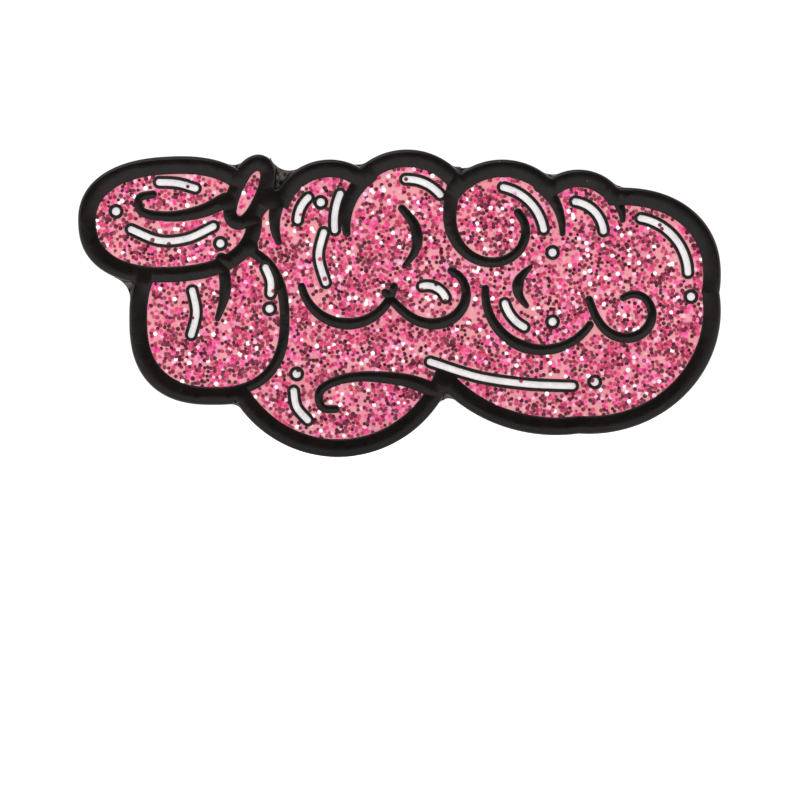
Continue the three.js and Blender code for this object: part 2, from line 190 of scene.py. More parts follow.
@dataclass(frozen=True)
class Puff:
    """One rounded lobe of the cloud: a squarish, tilted ellipse."""

    x: float
    z: float
    a: float
    b: float
    tilt: float
    power: float

    def outline(self, inset: float = 0.0, step: float = 0.12) -> np.ndarray:
        """The lobe's outline.

        Args:
            inset: How far the outline is shrunk all round.
            step: Aimed length of a side.

        Returns:
            The outline's points, counterclockwise.
        """
        a, b = self.a - inset, self.b - inset
        count = 4 * round(math.pi * (a + b) / step / 4)
        angle = np.arange(count) * 2 * math.pi / count
        c, s = np.cos(angle), np.sin(angle)
        u = a * np.sign(c) * np.abs(c) ** (2 / self.power)
        v = b * np.sign(s) * np.abs(s) ** (2 / self.power)
        turn = math.radians(self.tilt)
        return np.stack(
            [
                self.x + u * math.cos(turn) - v * math.sin(turn),
                self.z + u * math.sin(turn) + v * math.cos(turn),
            ],
            1,
        )

    def level(self, reach: float, points: np.ndarray) -> np.ndarray:
        """How far points are outside (above 1) or inside (below 1) the lobe grown by reach."""
        turn = math.radians(self.tilt)
        dx, dz = points[..., 0] - self.x, points[..., 1] - self.z
        u = dx * math.cos(turn) + dz * math.sin(turn)
        v = dz * math.cos(turn) - dx * math.sin(turn)
        return np.abs(u / (self.a + reach)) ** self.power + np.abs(v / (self.b + reach)) ** self.power

    def outward(self, point: np.ndarray) -> float:
        """The angle of the direction straight out of the lobe at a point."""
        step = 1e-3
        here = self.level(0, point)
        dx = self.level(0, point + np.array([step, 0.0])) - here
        dz = self.level(0, point + np.array([0.0, step])) - here
        return math.atan2(dz, dx)


# ---- The drawing --------------------------------------------------------------------------------------

RIM_HALF = (0.33, 0.33, 0.33)
WHITE_HALF = (0.16, 0.16, 0.16)
FRONT = ("head", "finger", "low")


@dataclass
class Drawing:
    """The cloud's lobes, raised lines and highlights, in millimetres."""

    border: float = 0.9
    finger_border: float = 0.84
    overlap: float = 0.12
    low_cover: float = 0.4
    dot_rim: float = 0.38
    dot_white: float = 0.2
    puffs: dict[str, Puff] = field(
        default_factory=lambda: {
            "head": Puff(-10.0, 3.3, 4.65, 3.2, 3, 2.35),
            "finger": Puff(-6.15, 4.65, 1.15, 2.05, -24, 2.2),
            "low": Puff(-7.9, -1.6, 4.2, 4.3, 0, 2.5),
            "neck": Puff(-4.7, 2.4, 1.9, 2.5, 0, 2),
            "first": Puff(-2.1, 3.25, 3.05, 3.1, 0, 2),
            "second": Puff(1.75, 3.2, 3.6, 3.65, 0, 2),
            "third": Puff(6.5, 2.75, 3.6, 3.6, 0, 2),
            "fourth": Puff(10.3, 3.25, 2.6, 2.6, 0, 2),
            "shoulder": Puff(12.4, 0.6, 5.0, 4.35, 0, 2.2),
            "right": Puff(10.8, -1.2, 6.6, 6.15, 0, 2),
            "tail": Puff(8.6, -1.95, 6.7, 5.4, -12, 2),
            "middle": Puff(4.2, 0.2, 3.6, 3.4, 0, 2),
            "bottom": Puff(-1.7, -2.35, 6.1, 6.15, 0, 2),
        }
    )
    corners: tuple[tuple[str, str, float], ...] = (
        ("head", "finger", 0.7),
        ("finger", "first", 1.0),
        ("first", "second", 0.9),
        ("second", "third", 1.1),
        ("third", "fourth", 1.0),
        ("fourth", "shoulder", 1.3),
        ("tail", "bottom", 0.6),
        ("bottom", "low", 0.6),
        ("low", "head", 1.1),
    )

    def lines(self) -> list[Stroke]:
        """The raised brush lines."""
        return [
            Stroke(arc(1.75, 3.2, 3.05, 128, 190), (0.45, 0.34, 0.2)),
            Stroke(curl(6.3, 3.0, 128, 395, 3.3, 1.2), (0.4, 0.27, 0.22)),
            Stroke(arc(6.5, 2.75, 3.0, 50, -2), (0.4, 0.26, 0.15)),
            Stroke(arc(10.3, 3.25, 2.2, 44, 2), (0.4, 0.26, 0.15)),
            Stroke(arc(-2.1, 3.25, 2.75, 150, 202), (0.4, 0.3, 0.18)),
            Stroke(arc(-1.2, 0.5, 2.35, 192, 348), (0.2, 0.3, 0.2)),
            Stroke(curl(3.4, -0.1, 184, 418, 2.75, 1.05), (0.2, 0.3, 0.2)),
            Stroke(arc(8.5, -0.3, 2.85, 176, 326), (0.2, 0.3, 0.2)),
            Stroke(curl(12.9, -1.2, 165, 480, 2.15, 0.75), (0.2, 0.27, 0.18)),
            Stroke(through((1.5, 3.9), (2.15, 3.0), (2.2, 1.9), (1.6, 1.0)), (0.2, 0.3, 0.12)),
            Stroke(through((7.9, 1.0), (7.35, 0.35), (7.3, -0.35), (7.7, -0.95)), (0.12, 0.3, 0.14)),
            Stroke(through((-7.5, 1.4), (-7.3, 0.2), (-7.4, -0.7), (-7.7, -1.6)), (0.3, 0.3, 0.14)),
            Stroke(
                through((3.4, -5.3), (1.6, -4.65), (-0.9, -4.5), (-2.5, -5.1), (-2.5, -6.0), (-1.8, -6.1)),
                (0.4, 0.26, 0.2),
            ),
            Stroke(
                through((-7.3, 4.3), (-8.5, 3.75), (-10.0, 3.5), (-11.4, 3.7), (-11.6, 4.4), (-10.9, 4.6)),
                (0.4, 0.26, 0.2),
            ),
        ]

    def bars(self) -> dict[str, np.ndarray]:
        """The paths of the white highlight bars, by the place that they shine on."""
        return {
            "head_top": through((-10.6, 5.2), (-9.7, 5.15), (-8.8, 4.9)),
            "head_belly": through((-12.0, 2.85), (-10.6, 2.3), (-9.2, 2.4), (-7.9, 3.0)),
            "first_left": arc(-2.1, 3.25, 1.6, 132, 178),
            "first_right": arc(1.75, 3.2, 3.62, 157, 186),
            "neck": through((-2.4, 2.7), (-2.65, 1.5), (-2.3, 0.2)),
            "low_left": through((-8.95, -0.2), (-8.75, -1.3), (-9.0, -2.4)),
            "low_right": through((-5.3, 0.95), (-5.05, 0.3), (-5.05, -0.35)),
            "bottom": through((-3.9, -5.2), (-3.75, -6.0), (-3.2, -6.65)),
            "second": arc(1.75, 3.2, 2.15, 92, 40),
            "third": arc(6.0, 2.4, 2.6, 78, 10),
            "fourth": arc(9.9, 2.6, 1.65, 82, 6),
            "shoulder": arc(12.9, 0.6, 2.85, 80, 2),
            "scale_middle": arc(2.75, -0.95, 1.0, 104, 24),
            "scale_right": arc(8.5, -0.3, 1.95, 196, 242),
            "tail": through((2.9, -3.75), (5.3, -4.5), (7.7, -4.85), (10.0, -4.95)),
        }

    def dots(self) -> dict[str, tuple[float, float]]:
        """The centres of the white highlight dots."""
        return {
            "head_left": (-12.75, 3.75),
            "head_right": (-7.55, 2.15),
            "first": (-2.55, 4.2),
            "low": (-5.1, -1.1),
            "bottom": (-3.75, -4.35),
            "third": (9.0, 1.7),
            "shoulder": (15.9, -0.5),
            "scale": (9.0, -1.75),
            "tail": (11.1, -4.75),
        }

    def corner(self, one: str, other: str, radius: float) -> np.ndarray:
        """The patch of plate that rounds off the corner between two lobes.

        Args:
            one: Name of the first lobe.
            other: Name of the second lobe.
            radius: Radius of the rounding.

        Returns:
            The patch's outline.
        """
        first, second = self.puffs[one], self.puffs[other]
        path = first.outline(-radius, 0.05)
        reach = second.level(radius, path) - 1
        others = [p for name, p in self.puffs.items() if name not in (one, other)]
        for i in range(len(path)):
            j = (i + 1) % len(path)
            if reach[i] * reach[j] > 0:
                continue
            centre = path[i] + (path[j] - path[i]) * reach[i] / (reach[i] - reach[j])
            if all(p.level(0, centre) > 1 for p in others):
                break
        start = first.outward(centre) + math.pi
        turn = (second.outward(centre) + math.pi - start + math.pi) % (2 * math.pi) - math.pi
        angle = start + turn * np.linspace(0, 1, 17)
        edge = centre + radius * np.stack([np.cos(angle), np.sin(angle)], 1)
        return np.vstack([[first.x, first.z], edge, [second.x, second.z]])

    def regions(self) -> dict[str, np.ndarray]:
        """Every flat outline of the face, by kind and name."""
        found = {f"outer:{n}": p.outline() for n, p in self.puffs.items()}
        found |= {f"plate:{i}": self.corner(*c) for i, c in enumerate(self.corners)}
        for name, puff in self.puffs.items():
            found[f"inner:{name}"] = puff.outline(self.finger_border if name == "finger" else self.border)
        found["cover:head"] = self.puffs["head"].outline(self.overlap)
        found["cover:finger"] = self.puffs["finger"].outline(self.overlap)
        found["cover:low"] = self.puffs["low"].outline(self.low_cover)
        found |= {f"line:{i}": line.outline() for i, line in enumerate(self.lines())}
        for name, path in self.bars().items():
            found[f"line:rim_{name}"] = Stroke(path, RIM_HALF).outline()
            found[f"white:highlight_bar_{name}"] = Stroke(path, WHITE_HALF).outline(0.1, 10)
        for name, (x, z) in self.dots().items():
            found[f"line:rim_dot_{name}"] = circle(x, z, self.dot_rim)
            found[f"white:highlight_dot_{name}"] = circle(x, z, self.dot_white, 24)
        return found

    @staticmethod
    def kind(inside: set[str]) -> str:
        """What the face is made of where these outlines overlap.

        Args:
            inside: Names of the outlines that cover the place.

        Returns:
            A cell's or highlight's node name, or metal, plate or nothing.
        """
        white = [n for n in inside if n.startswith("white:")]
        if white:
            return white[0].split(":")[1]
        if not any(n.startswith("line:") for n in inside):
            finger, head = "cover:finger" in inside, "cover:head" in inside
            if "inner:finger" in inside:
                return "enamel_finger"
            if "inner:head" in inside and not finger:
                return "enamel_head"
            if "inner:low" in inside and not finger and not head:
                return "enamel_low"
            back = any(n.startswith("inner:") and n.split(":")[1] not in FRONT for n in inside)
            if back and not finger and not head and "cover:low" not in inside:
                return "enamel_cloud"
        if any(n.startswith("outer:") for n in inside):
            return "metal"
        return "plate" if inside else "nothing"


# ---- Plans and meshes ---------------------------------------------------------------------------------


class Plan:
    """A flat drawing cut into triangles, each with the kind of the place that it lies in."""

    def __init__(self, points: np.ndarray, tris: np.ndarray, kinds: np.ndarray) -> None:
        """Keeps the triangles and notes what lies on the left of every side.

        Args:
            points: Every corner.
            tris: Corner numbers of each triangle, counterclockwise.
            kinds: The kind of each triangle.
        """
        self.points, self.tris, self.kinds = points, tris, kinds
        self.left = {}
        for tri, name in zip(tris.tolist(), kinds.tolist()):
            for i in range(3):
                self.left[(tri[i], tri[(i + 1) % 3])] = name

    @classmethod
    def of_outlines(cls, regions: dict[str, np.ndarray], kind: Callable[[set[str]], str]) -> "Plan":
        """Cuts outlines where they cross, and names each triangle.

        Args:
            regions: Outlines by name.
            kind: Names a place from the outlines that cover it.

        Returns:
            The plan.
        """
        names, points, faces = list(regions), [], []
        for outline in regions.values():
            across, up = outline[:, 0], outline[:, 1]
            if np.sum(across * np.roll(up, -1) - up * np.roll(across, -1)) < 0:
                outline = outline[::-1]
            faces.append(list(range(len(points), len(points) + len(outline))))
            points.extend(outline.tolist())
        made = delaunay_2d_cdt([Vector(p) for p in points], [], faces, 1, 1e-5)
        kinds = np.array([kind({names[i] for i in cover}) for cover in made[5]])
        keep = kinds != "nothing"
        return cls(np.array([v[:] for v in made[0]]), np.array(made[2])[keep], kinds[keep])

    def refined(self, extra: np.ndarray) -> "Plan":
        """The same places cut afresh, along their borders only, with more points inside them.

        Args:
            extra: The points to add.

        Returns:
            The finer plan.
        """
        kept = [(a, b) for (a, b), kind in self.left.items() if self.left.get((b, a), "nothing") != kind]
        used, index = np.unique(np.array(kept), return_inverse=True)
        edges = np.unique(np.sort(index.reshape(-1, 2), axis=1), axis=0)
        points = np.vstack([self.points[used], extra])
        made = delaunay_2d_cdt([Vector(p) for p in points.tolist()], edges.tolist(), [], 0, 1e-5)
        fine, tris = np.array([v[:] for v in made[0]]), np.array(made[2])
        lookup = BVHTree.FromPolygons([(x, z, 0) for x, z in self.points.tolist()], self.tris.tolist())
        names = self.kinds.tolist()
        kinds = []
        for x, z in fine[tris].mean(1).tolist():
            hit = lookup.ray_cast((x, z, 1), (0, 0, -1))[2]
            kinds.append("nothing" if hit is None else names[hit])
        kinds = np.array(kinds)
        keep = kinds != "nothing"
        return Plan(fine, tris[keep], kinds[keep])

    def borders(self, here: Callable[[str], bool], there: Callable[[str], bool]) -> np.ndarray:
        """The directed edges with one sort of place on their left and another on their right.

        Args:
            here: Tests the kind on the left.
            there: Tests the kind on the right, which is nothing outside the drawing.

        Returns:
            Pairs of point numbers.
        """
        found = [
            (a, b)
            for (a, b), kind in self.left.items()
            if here(kind) and there(self.left.get((b, a), "nothing"))
        ]
        return np.array(found, int).reshape(-1, 2)


class Nearness:
    """Distances from points to a set of edges."""

    def __init__(self, points: np.ndarray, edges: np.ndarray, step: float = 0.02) -> None:
        """Samples the edges.

        Args:
            points: All points of the plan.
            edges: Pairs of point numbers.
            step: Distance between samples.
        """
        samples = []
        for a, b in zip(points[edges[:, 0]], points[edges[:, 1]]):
            count = max(1, math.ceil(np.linalg.norm(b - a) / step))
            samples.append(a + (b - a) * (np.arange(count)[:, None] / count))
        cloud = np.vstack(samples)
        self.tree = kdtree.KDTree(len(cloud))
        for i, (x, z) in enumerate(cloud):
            self.tree.insert((x, z, 0), i)
        self.tree.balance()

    def of(self, points: np.ndarray) -> np.ndarray:
        """The distance of each point."""
        return np.array([self.tree.find((x, z, 0))[2] for x, z in points])


def rings(points: np.ndarray, edges: np.ndarray, depths: Iterable[float], step: float) -> np.ndarray:
    """Rows of points to the left of some edges.

    Args:
        points: All points of the plan.
        edges: Pairs of point numbers.
        depths: The distance of each row.
        step: Aimed distance between the points of a row.

    Returns:
        The points, each with its row's depth in a third column.
    """
    a, b = points[edges[:, 0]], points[edges[:, 1]]
    length = np.linalg.norm(b - a, axis=1)
    normal = np.stack([a[:, 1] - b[:, 1], b[:, 0] - a[:, 0]], 1) / length[:, None]
    rows = []
    for row, depth in enumerate(depths):
        spare = 0.0
        picked = []
        for i, size in enumerate(length):
            spare += size / step
            if spare >= 1:
                spare -= math.floor(spare)
                picked.append(i)
        chosen = np.array(picked)
        share = 0.3 if row % 2 else 0.7
        middle = a[chosen] + (b[chosen] - a[chosen]) * share
        rows.append(np.column_stack([middle + normal[chosen] * depth, np.full(len(chosen), depth)]))
    return np.vstack(rows)


def spaced(rows: np.ndarray, distance: np.ndarray) -> np.ndarray:
    """The points of some rings that another stretch of the outline doesn't crowd.

    Args:
        rows: Each point and how far from the outline it was meant to lie.
        distance: How far from the outline it does lie.

    Returns:
        The points that are kept.
    """
    return rows[distance > rows[:, 2] * 0.9 - 0.004, :2]


def jittered_grid(low: np.ndarray, high: np.ndarray, step: float, seed: int) -> np.ndarray:
    """Points of a slightly shaken grid.

    Args:
        low: Lowest corner.
        high: Highest corner.
        step: Spacing of the grid.
        seed: Seed of the shake.

    Returns:
        The points.
    """
    x, z = np.meshgrid(np.arange(low[0], high[0], step), np.arange(low[1], high[1], step))
    x = x + (np.arange(len(x)) % 2)[:, None] * step / 2
    shake = np.random.default_rng(seed).uniform(-0.25, 0.25, (x.size, 2)) * step
    return np.stack([x.ravel(), z.ravel()], 1) + shake


@contextmanager
def opened(mesh: bpy.types.Mesh) -> Iterator[bmesh.types.BMesh]:
    """Opens a mesh for editing, and writes it back at the end."""
    edited = bmesh.new()
    edited.from_mesh(mesh)
    yield edited
    edited.to_mesh(mesh)
    edited.free()


class Shell:
    """Gathers triangles and quads in millimetres and makes one closed mesh of them."""

    def __init__(self) -> None:
        """Starts empty."""
        self.verts: list[np.ndarray] = []
        self.faces: list[list[int]] = []
        self.marks: list[np.ndarray] = []
        self.count = 0

    def add(self, verts: np.ndarray, faces: np.ndarray, mark: float = 0.0) -> None:
        """Adds a patch.

        Args:
            verts: Corners, in millimetres.
            faces: Corner numbers of each face.
            mark: Value of the patch's mark attribute.
        """
        self.verts.append(verts)
        self.faces.extend((np.asarray(faces) + self.count).tolist())
        self.marks.append(np.full(len(verts), mark))
        self.count += len(verts)

    def cap(
        self, points: np.ndarray, tris: np.ndarray, height: np.ndarray, front: bool, mark: float = 0.0
    ) -> None:
        """Adds a patch of a plan at a height above the back face.

        Args:
            points: All points of the plan.
            tris: The triangles to add.
            height: Height of every point.
            front: True if the patch faces the front.
            mark: Value of the patch's mark attribute.
        """
        used, index = np.unique(tris, return_inverse=True)
        verts = np.column_stack([points[used, 0], -height[used], points[used, 1]])
        faces = index.reshape(-1, 3)
        self.add(verts, faces if front else faces[:, ::-1], mark)

    def wall(self, points: np.ndarray, edges: np.ndarray, rows: list[np.ndarray], mark: float = 0.0) -> None:
        """Adds a wall that stands on edges which have the solid on their left.

        Args:
            points: All points of the plan.
            edges: Pairs of point numbers.
            rows: Heights of every point for each row of the wall, from the front backwards.
            mark: Value of the patch's mark attribute.
        """
        used, index = np.unique(edges, return_inverse=True)
        pairs = index.reshape(-1, 2)
        for upper, lower in zip(rows, rows[1:]):
            top = np.column_stack([points[used, 0], -upper[used], points[used, 1]])
            low = np.column_stack([points[used, 0], -lower[used], points[used, 1]])
            n = len(used)
            faces = np.column_stack([pairs[:, 1], pairs[:, 0], pairs[:, 0] + n, pairs[:, 1] + n])
            self.add(np.vstack([top, low]), faces, mark)

    def build(self, name: str, sharp: float = 40.0) -> bpy.types.Object:
        """Makes the object.

        Args:
            name: Name of the piece.
            sharp: Edges that bend more than this, in degrees, stay sharp.

        Returns:
            The object, at the origin.
        """
        mesh = bpy.data.meshes.new(name)
        mesh.from_pydata((np.vstack(self.verts) * MM).tolist(), [], self.faces)
        mark = mesh.attributes.new("mark", "FLOAT", "POINT")
        mark.data.foreach_set("value", np.concatenate(self.marks).astype(np.float32))
        with opened(mesh) as merged:
            bmesh.ops.remove_doubles(merged, verts=merged.verts, dist=WELD)
            bmesh.ops.dissolve_degenerate(merged, dist=WELD / 10, edges=merged.edges)
        mesh.shade_smooth()
        mesh.set_sharp_from_angle(angle=math.radians(sharp))
        made = bpy.data.objects.new(name, mesh)
        bpy.context.scene.collection.objects.link(made)
        even = made.modifiers.new("even_normals", "WEIGHTED_NORMAL")
        even.keep_sharp = True
        return made


def arc_points(
    middle: tuple[float, float], radius: float, start: float, end: float, count: int
) -> list[tuple[float, float]]:
    """Points along an arc, for a profile.

    Args:
        middle: The arc's middle.
        radius: Its radius.
        start: Its first angle, in degrees.
        end: Its last angle, in degrees.
        count: How many points.

    Returns:
        The points.
    """
    angles = np.radians(np.linspace(start, end, count))
    return [(middle[0] + radius * math.cos(a), middle[1] + radius * math.sin(a)) for a in angles]


def turned(name: str, profile: np.ndarray, sides: int, sharp: float = 50.0) -> bpy.types.Object:
    """A closed profile turned round the post's axis.

    Args:
        name: Name of the piece.
        profile: Radius and height pairs, counterclockwise, in millimetres. A radius of 0 is a pole.
        sides: Sides of the turned piece.
        sharp: Edges that bend more than this, in degrees, stay sharp.

    Returns:
        The object.
    """
    angle = np.arange(sides) * 2 * math.pi / sides
    shell = Shell()
    r, y = profile[:, 0][:, None], profile[:, 1][:, None]
    verts = np.stack([r * np.cos(angle), np.broadcast_to(y, (len(r), sides)), r * np.sin(angle)], 2)
    faces = []
    count = len(profile)
    closed = profile[0, 0] > 0
    for i in range(count if closed else count - 1):
        j = (i + 1) % count
        for k in range(sides):
            m = (k + 1) % sides
            faces.append((i * sides + k, j * sides + k, j * sides + m, i * sides + m))
    shell.add(verts.reshape(-1, 3), np.array(faces))
    made = shell.build(name, sharp)
    fixed = bmesh.new()
    fixed.from_mesh(made.data)
    bmesh.ops.recalc_face_normals(fixed, faces=fixed.faces)
    fixed.to_mesh(made.data)
    fixed.free()
    return made


class Wrinkles:
    """Smooth random height over the plan, and the ridged leather of the cast back."""

    def __init__(self, seed: int) -> None:
        """Draws the lattice directions from a seed."""
        rng = np.random.default_rng(seed)
        self.table = np.concatenate([rng.permutation(256)] * 2)
        angle = rng.uniform(0, 2 * math.pi, 256)
        self.way = np.stack([np.cos(angle), np.sin(angle)], 1)

    def noise(self, x: np.ndarray, z: np.ndarray) -> np.ndarray:
        """Smooth noise between about -0.7 and 0.7.

        Args:
            x: Places across, one unit to a lattice cell.
            z: Places up.

        Returns:
            The noise at each place.
        """
        i, j = np.floor(x).astype(int), np.floor(z).astype(int)
        u, v = x - i, z - j
        su, sv = u * u * u * (u * (u * 6 - 15) + 10), v * v * v * (v * (v * 6 - 15) + 10)

        def lattice(di: int, dj: int) -> np.ndarray:
            """One corner's share of the noise."""
            way = self.way[self.table[self.table[(i + di) % 256] + (j + dj) % 256]]
            return way[..., 0] * (u - di) + way[..., 1] * (v - dj)

        low = lattice(0, 0) * (1 - su) + lattice(1, 0) * su
        high = lattice(0, 1) * (1 - su) + lattice(1, 1) * su
        return low * (1 - sv) + high * sv

    def ridges(self, x: np.ndarray, z: np.ndarray) -> np.ndarray:
        """Crossing ridges, between 0 and about 1.

        Args:
            x: Places across, in millimetres.
            z: Places up, in millimetres.

        Returns:
            The height of the ridges at each place.
        """
        wx = x + 0.55 * self.noise(x * 0.9 + 7, z * 0.9)
        wz = z + 0.55 * self.noise(x * 0.9, z * 0.9 + 31)
        total = np.zeros_like(x)
        for turn, seed in ((0.35, 3.0), (1.25, 57.0), (2.4, 111.0)):
            c, s = math.cos(turn), math.sin(turn)
            u, v = wx * c + wz * s, wz * c - wx * s
            ridge = np.clip(1 - np.abs(self.noise(u * 0.75 + seed, v * 2.1)) * 3.2, 0, 1)
            share = np.clip(self.noise(x * 0.45 + seed, z * 0.45 + seed) * 2.4 + 0.55, 0, 1)
            total = np.maximum(total, ridge**1.4 * share)
        return total + 0.25 * self.noise(x * 3.1, z * 3.1)


# ---- Finishes -----------------------------------------------------------------------------------------

Socket = bpy.types.NodeSocket


class Recipe:
    """Builds one material's nodes."""

    def __init__(self, name: str, **settings: object) -> None:
        """Starts a material.

        Args:
            name: Name of the material.
            **settings: Values for the shader's own sockets, with underscores for spaces.
        """
        self.material = bpy.data.materials.new(name)
        self.material.use_nodes = True
        self.tree = self.material.node_tree
        self.tree.nodes.clear()
        self.shader = self.tree.nodes.new("ShaderNodeBsdfPrincipled")
        out = self.tree.nodes.new("ShaderNodeOutputMaterial")
        self.tree.links.new(self.shader.outputs["BSDF"], out.inputs["Surface"])
        for key, value in settings.items():
            self.shader.inputs[key.replace("_", " ")].default_value = value
        place = self.node("ShaderNodeTexCoord").outputs["Object"]
        scale = self.node("ShaderNodeVectorMath", operation="MULTIPLY")
        self.tree.links.new(place, scale.inputs[0])
        scale.inputs[1].default_value = (1 / MM,) * 3
        self.place = scale.outputs[0]

    def node(self, kind: str, **settings: object) -> bpy.types.Node:
        """Adds a node with some of its properties set."""
        made = self.tree.nodes.new(kind)
        for key, value in settings.items():
            setattr(made, key, value)
        return made

    def feed(self, target: Socket, value: object) -> None:
        """Links a socket, or sets it where the value is plain."""
        if isinstance(value, bpy.types.NodeSocket):
            self.tree.links.new(value, target)
        else:
            target.default_value = value

    def stretched(self, scale: tuple[float, float, float]) -> Socket:
        """The place in millimetres, stretched along its axes."""
        node = self.node("ShaderNodeVectorMath", operation="MULTIPLY")
        self.feed(node.inputs[0], self.place)
        node.inputs[1].default_value = scale
        return node.outputs[0]

    def noise(self, scale: float, detail: float = 3.0, place: Socket | None = None) -> Socket:
        """Smooth noise with this many features to a millimetre."""
        node = self.node("ShaderNodeTexNoise")
        self.feed(node.inputs["Vector"], place or self.place)
        node.inputs["Scale"].default_value = scale
        node.inputs["Detail"].default_value = detail
        return node.outputs["Fac"]

    def cells(self, scale: float, output: str = "Distance", place: Socket | None = None) -> Socket:
        """Random cells with this many to a millimetre."""
        node = self.node("ShaderNodeTexVoronoi")
        self.feed(node.inputs["Vector"], place or self.place)
        node.inputs["Scale"].default_value = scale
        return node.outputs[output]

    def spread(
        self, value: Socket, low: float, high: float, out_low: float = 0.0, out_high: float = 1.0
    ) -> Socket:
        """Maps a range of a value onto another range, and clamps it."""
        node = self.node("ShaderNodeMapRange")
        self.feed(node.inputs["Value"], value)
        for key, number in (("From Min", low), ("From Max", high), ("To Min", out_low), ("To Max", out_high)):
            node.inputs[key].default_value = number
        return node.outputs["Result"]

    def times(self, one: object, other: object) -> Socket:
        """The product of two values."""
        node = self.node("ShaderNodeMath", operation="MULTIPLY")
        self.feed(node.inputs[0], one)
        self.feed(node.inputs[1], other)
        return node.outputs[0]

    def mix(self, share: Socket, one: object, other: object) -> Socket:
        """A colour between two others."""
        node = self.node("ShaderNodeMix", data_type="RGBA")
        self.feed(node.inputs["Factor"], share)
        self.feed(node.inputs[6], one)
        self.feed(node.inputs[7], other)
        return node.outputs[2]

    def ramp(self, value: Socket, stops: list[tuple[float, tuple[float, ...]]], step: bool = False) -> Socket:
        """A colour picked along a ramp, blended or in steps."""
        node = self.node("ShaderNodeValToRGB")
        self.feed(node.inputs["Fac"], value)
        node.color_ramp.interpolation = "CONSTANT" if step else "LINEAR"
        elements = node.color_ramp.elements
        while len(elements) < len(stops):
            elements.new(0.5)
        for element, (place, colour) in zip(elements, stops):
            element.position = place
            element.color = colour
        return node.outputs["Color"]

    def attribute(self, name: str) -> Socket:
        """A number stored on the mesh."""
        return self.node("ShaderNodeAttribute", attribute_name=name).outputs["Fac"]

    def bump(
        self, height: Socket, distance: float, strength: float = 1.0, below: Socket | None = None
    ) -> Socket:
        """Fine relief of this many millimetres, on top of another relief if one is given."""
        node = self.node("ShaderNodeBump")
        node.inputs["Distance"].default_value = distance * MM
        node.inputs["Strength"].default_value = strength
        self.feed(node.inputs["Height"], height)
        if below is not None:
            self.feed(node.inputs["Normal"], below)
        return node.outputs["Normal"]

    def into(self, **values: object) -> "Recipe":
        """Links values into the shader's sockets, with underscores for spaces."""
        for key, value in values.items():
            self.feed(self.shader.inputs[key.replace("_", " ")], value)
        return self


def tone(red: float, green: float, blue: float) -> tuple[float, float, float, float]:
    """A display colour, each part from 0 to 255, as the shader's linear colour."""
    parts = [c / 255 for c in (red, green, blue)]
    linear = [c / 12.92 if c <= 0.04045 else ((c + 0.055) / 1.055) ** 2.4 for c in parts]
    return (*linear, 1.0)


@dataclass(frozen=True)
class BlackPlating:
    """Glossy black dye on struck metal, rougher and greyer where mark is 1, with dust and rubbed spots."""

    black: tuple[float, ...] = tone(14, 11, 10)
    brown: tuple[float, ...] = tone(21, 16, 14)
    bare: tuple[float, ...] = tone(104, 99, 94)
    dust: tuple[float, ...] = tone(176, 170, 164)

    def build(self) -> bpy.types.Material:
        """Makes the material."""
        r = Recipe("black_plating", Specular_IOR_Level=0.16)
        cloudy = r.spread(r.noise(0.8, 4.0), 0.35, 0.65)
        base = r.mix(cloudy, self.black, self.brown)
        grain = r.spread(r.noise(5.5, 5.0), 0.36, 0.6)
        web = r.attribute("mark")
        base = r.mix(r.times(web, grain), base, self.bare)
        speck = r.spread(r.cells(1.9), 0.045, 0.03)
        sparse = r.spread(r.noise(0.55, 1.0), 0.52, 0.6)
        base = r.mix(r.times(r.times(speck, sparse), 0.55), base, self.dust)
        smear = r.spread(r.noise(2.2, 5.0), 0.3, 0.7, 0.14, 0.26)
        fine = r.noise(14.0, 3.0)
        return r.into(
            Base_Color=base,
            Roughness=smear,
            Normal=r.bump(fine, 0.004, 0.35, r.bump(r.noise(3.0, 2.0), 0.01, 0.3)),
        ).material


@dataclass(frozen=True)
class PinkEnamel:
    """Pink resin with out-of-focus flakes deep inside it."""

    pink: tuple[float, ...] = tone(211, 131, 140)
    pale: tuple[float, ...] = tone(217, 149, 154)
    deep: tuple[float, ...] = tone(186, 62, 104)
    ring: tuple[float, ...] = tone(232, 168, 182)

    def build(self) -> bpy.types.Material:
        """Makes the material."""
        r = Recipe("pink_enamel", Specular_IOR_Level=0.22, Coat_Weight=0.2, Coat_Roughness=0.08)
        base = r.mix(r.spread(r.noise(0.45, 3.0), 0.35, 0.65), self.pink, self.pale)
        where = r.spread(r.noise(0.7, 2.0), 0.42, 0.58)
        flake = r.spread(r.cells(4.2), 0.34, 0.26)
        base = r.mix(r.times(r.times(flake, where), 0.62), base, self.deep)
        other = r.spread(r.cells(3.1), 0.3, 0.22)
        base = r.mix(r.times(other, r.spread(r.noise(1.1, 1.0), 0.5, 0.62, 0.0, 0.7)), base, self.ring)
        return r.into(
            Base_Color=base,
            Roughness=r.spread(r.noise(2.5, 3.0), 0.3, 0.7, 0.22, 0.34),
            Normal=r.bump(r.noise(1.6, 2.0), 0.012, 0.25),
        ).material


@dataclass(frozen=True)
class WhiteEnamel:
    """White resin, faintly grey."""

    white: tuple[float, ...] = tone(221, 217, 216)
    grey: tuple[float, ...] = tone(206, 201, 204)

    def build(self) -> bpy.types.Material:
        """Makes the material."""
        r = Recipe("white_enamel", Coat_Weight=0.3, Coat_Roughness=0.1)
        base = r.mix(r.spread(r.noise(1.7, 4.0), 0.35, 0.65), self.white, self.grey)
        return r.into(
            Base_Color=base,
            Roughness=r.spread(r.noise(3.0, 3.0), 0.3, 0.7, 0.2, 0.34),
            Normal=r.bump(r.noise(4.0, 2.0), 0.01, 0.25),
        ).material


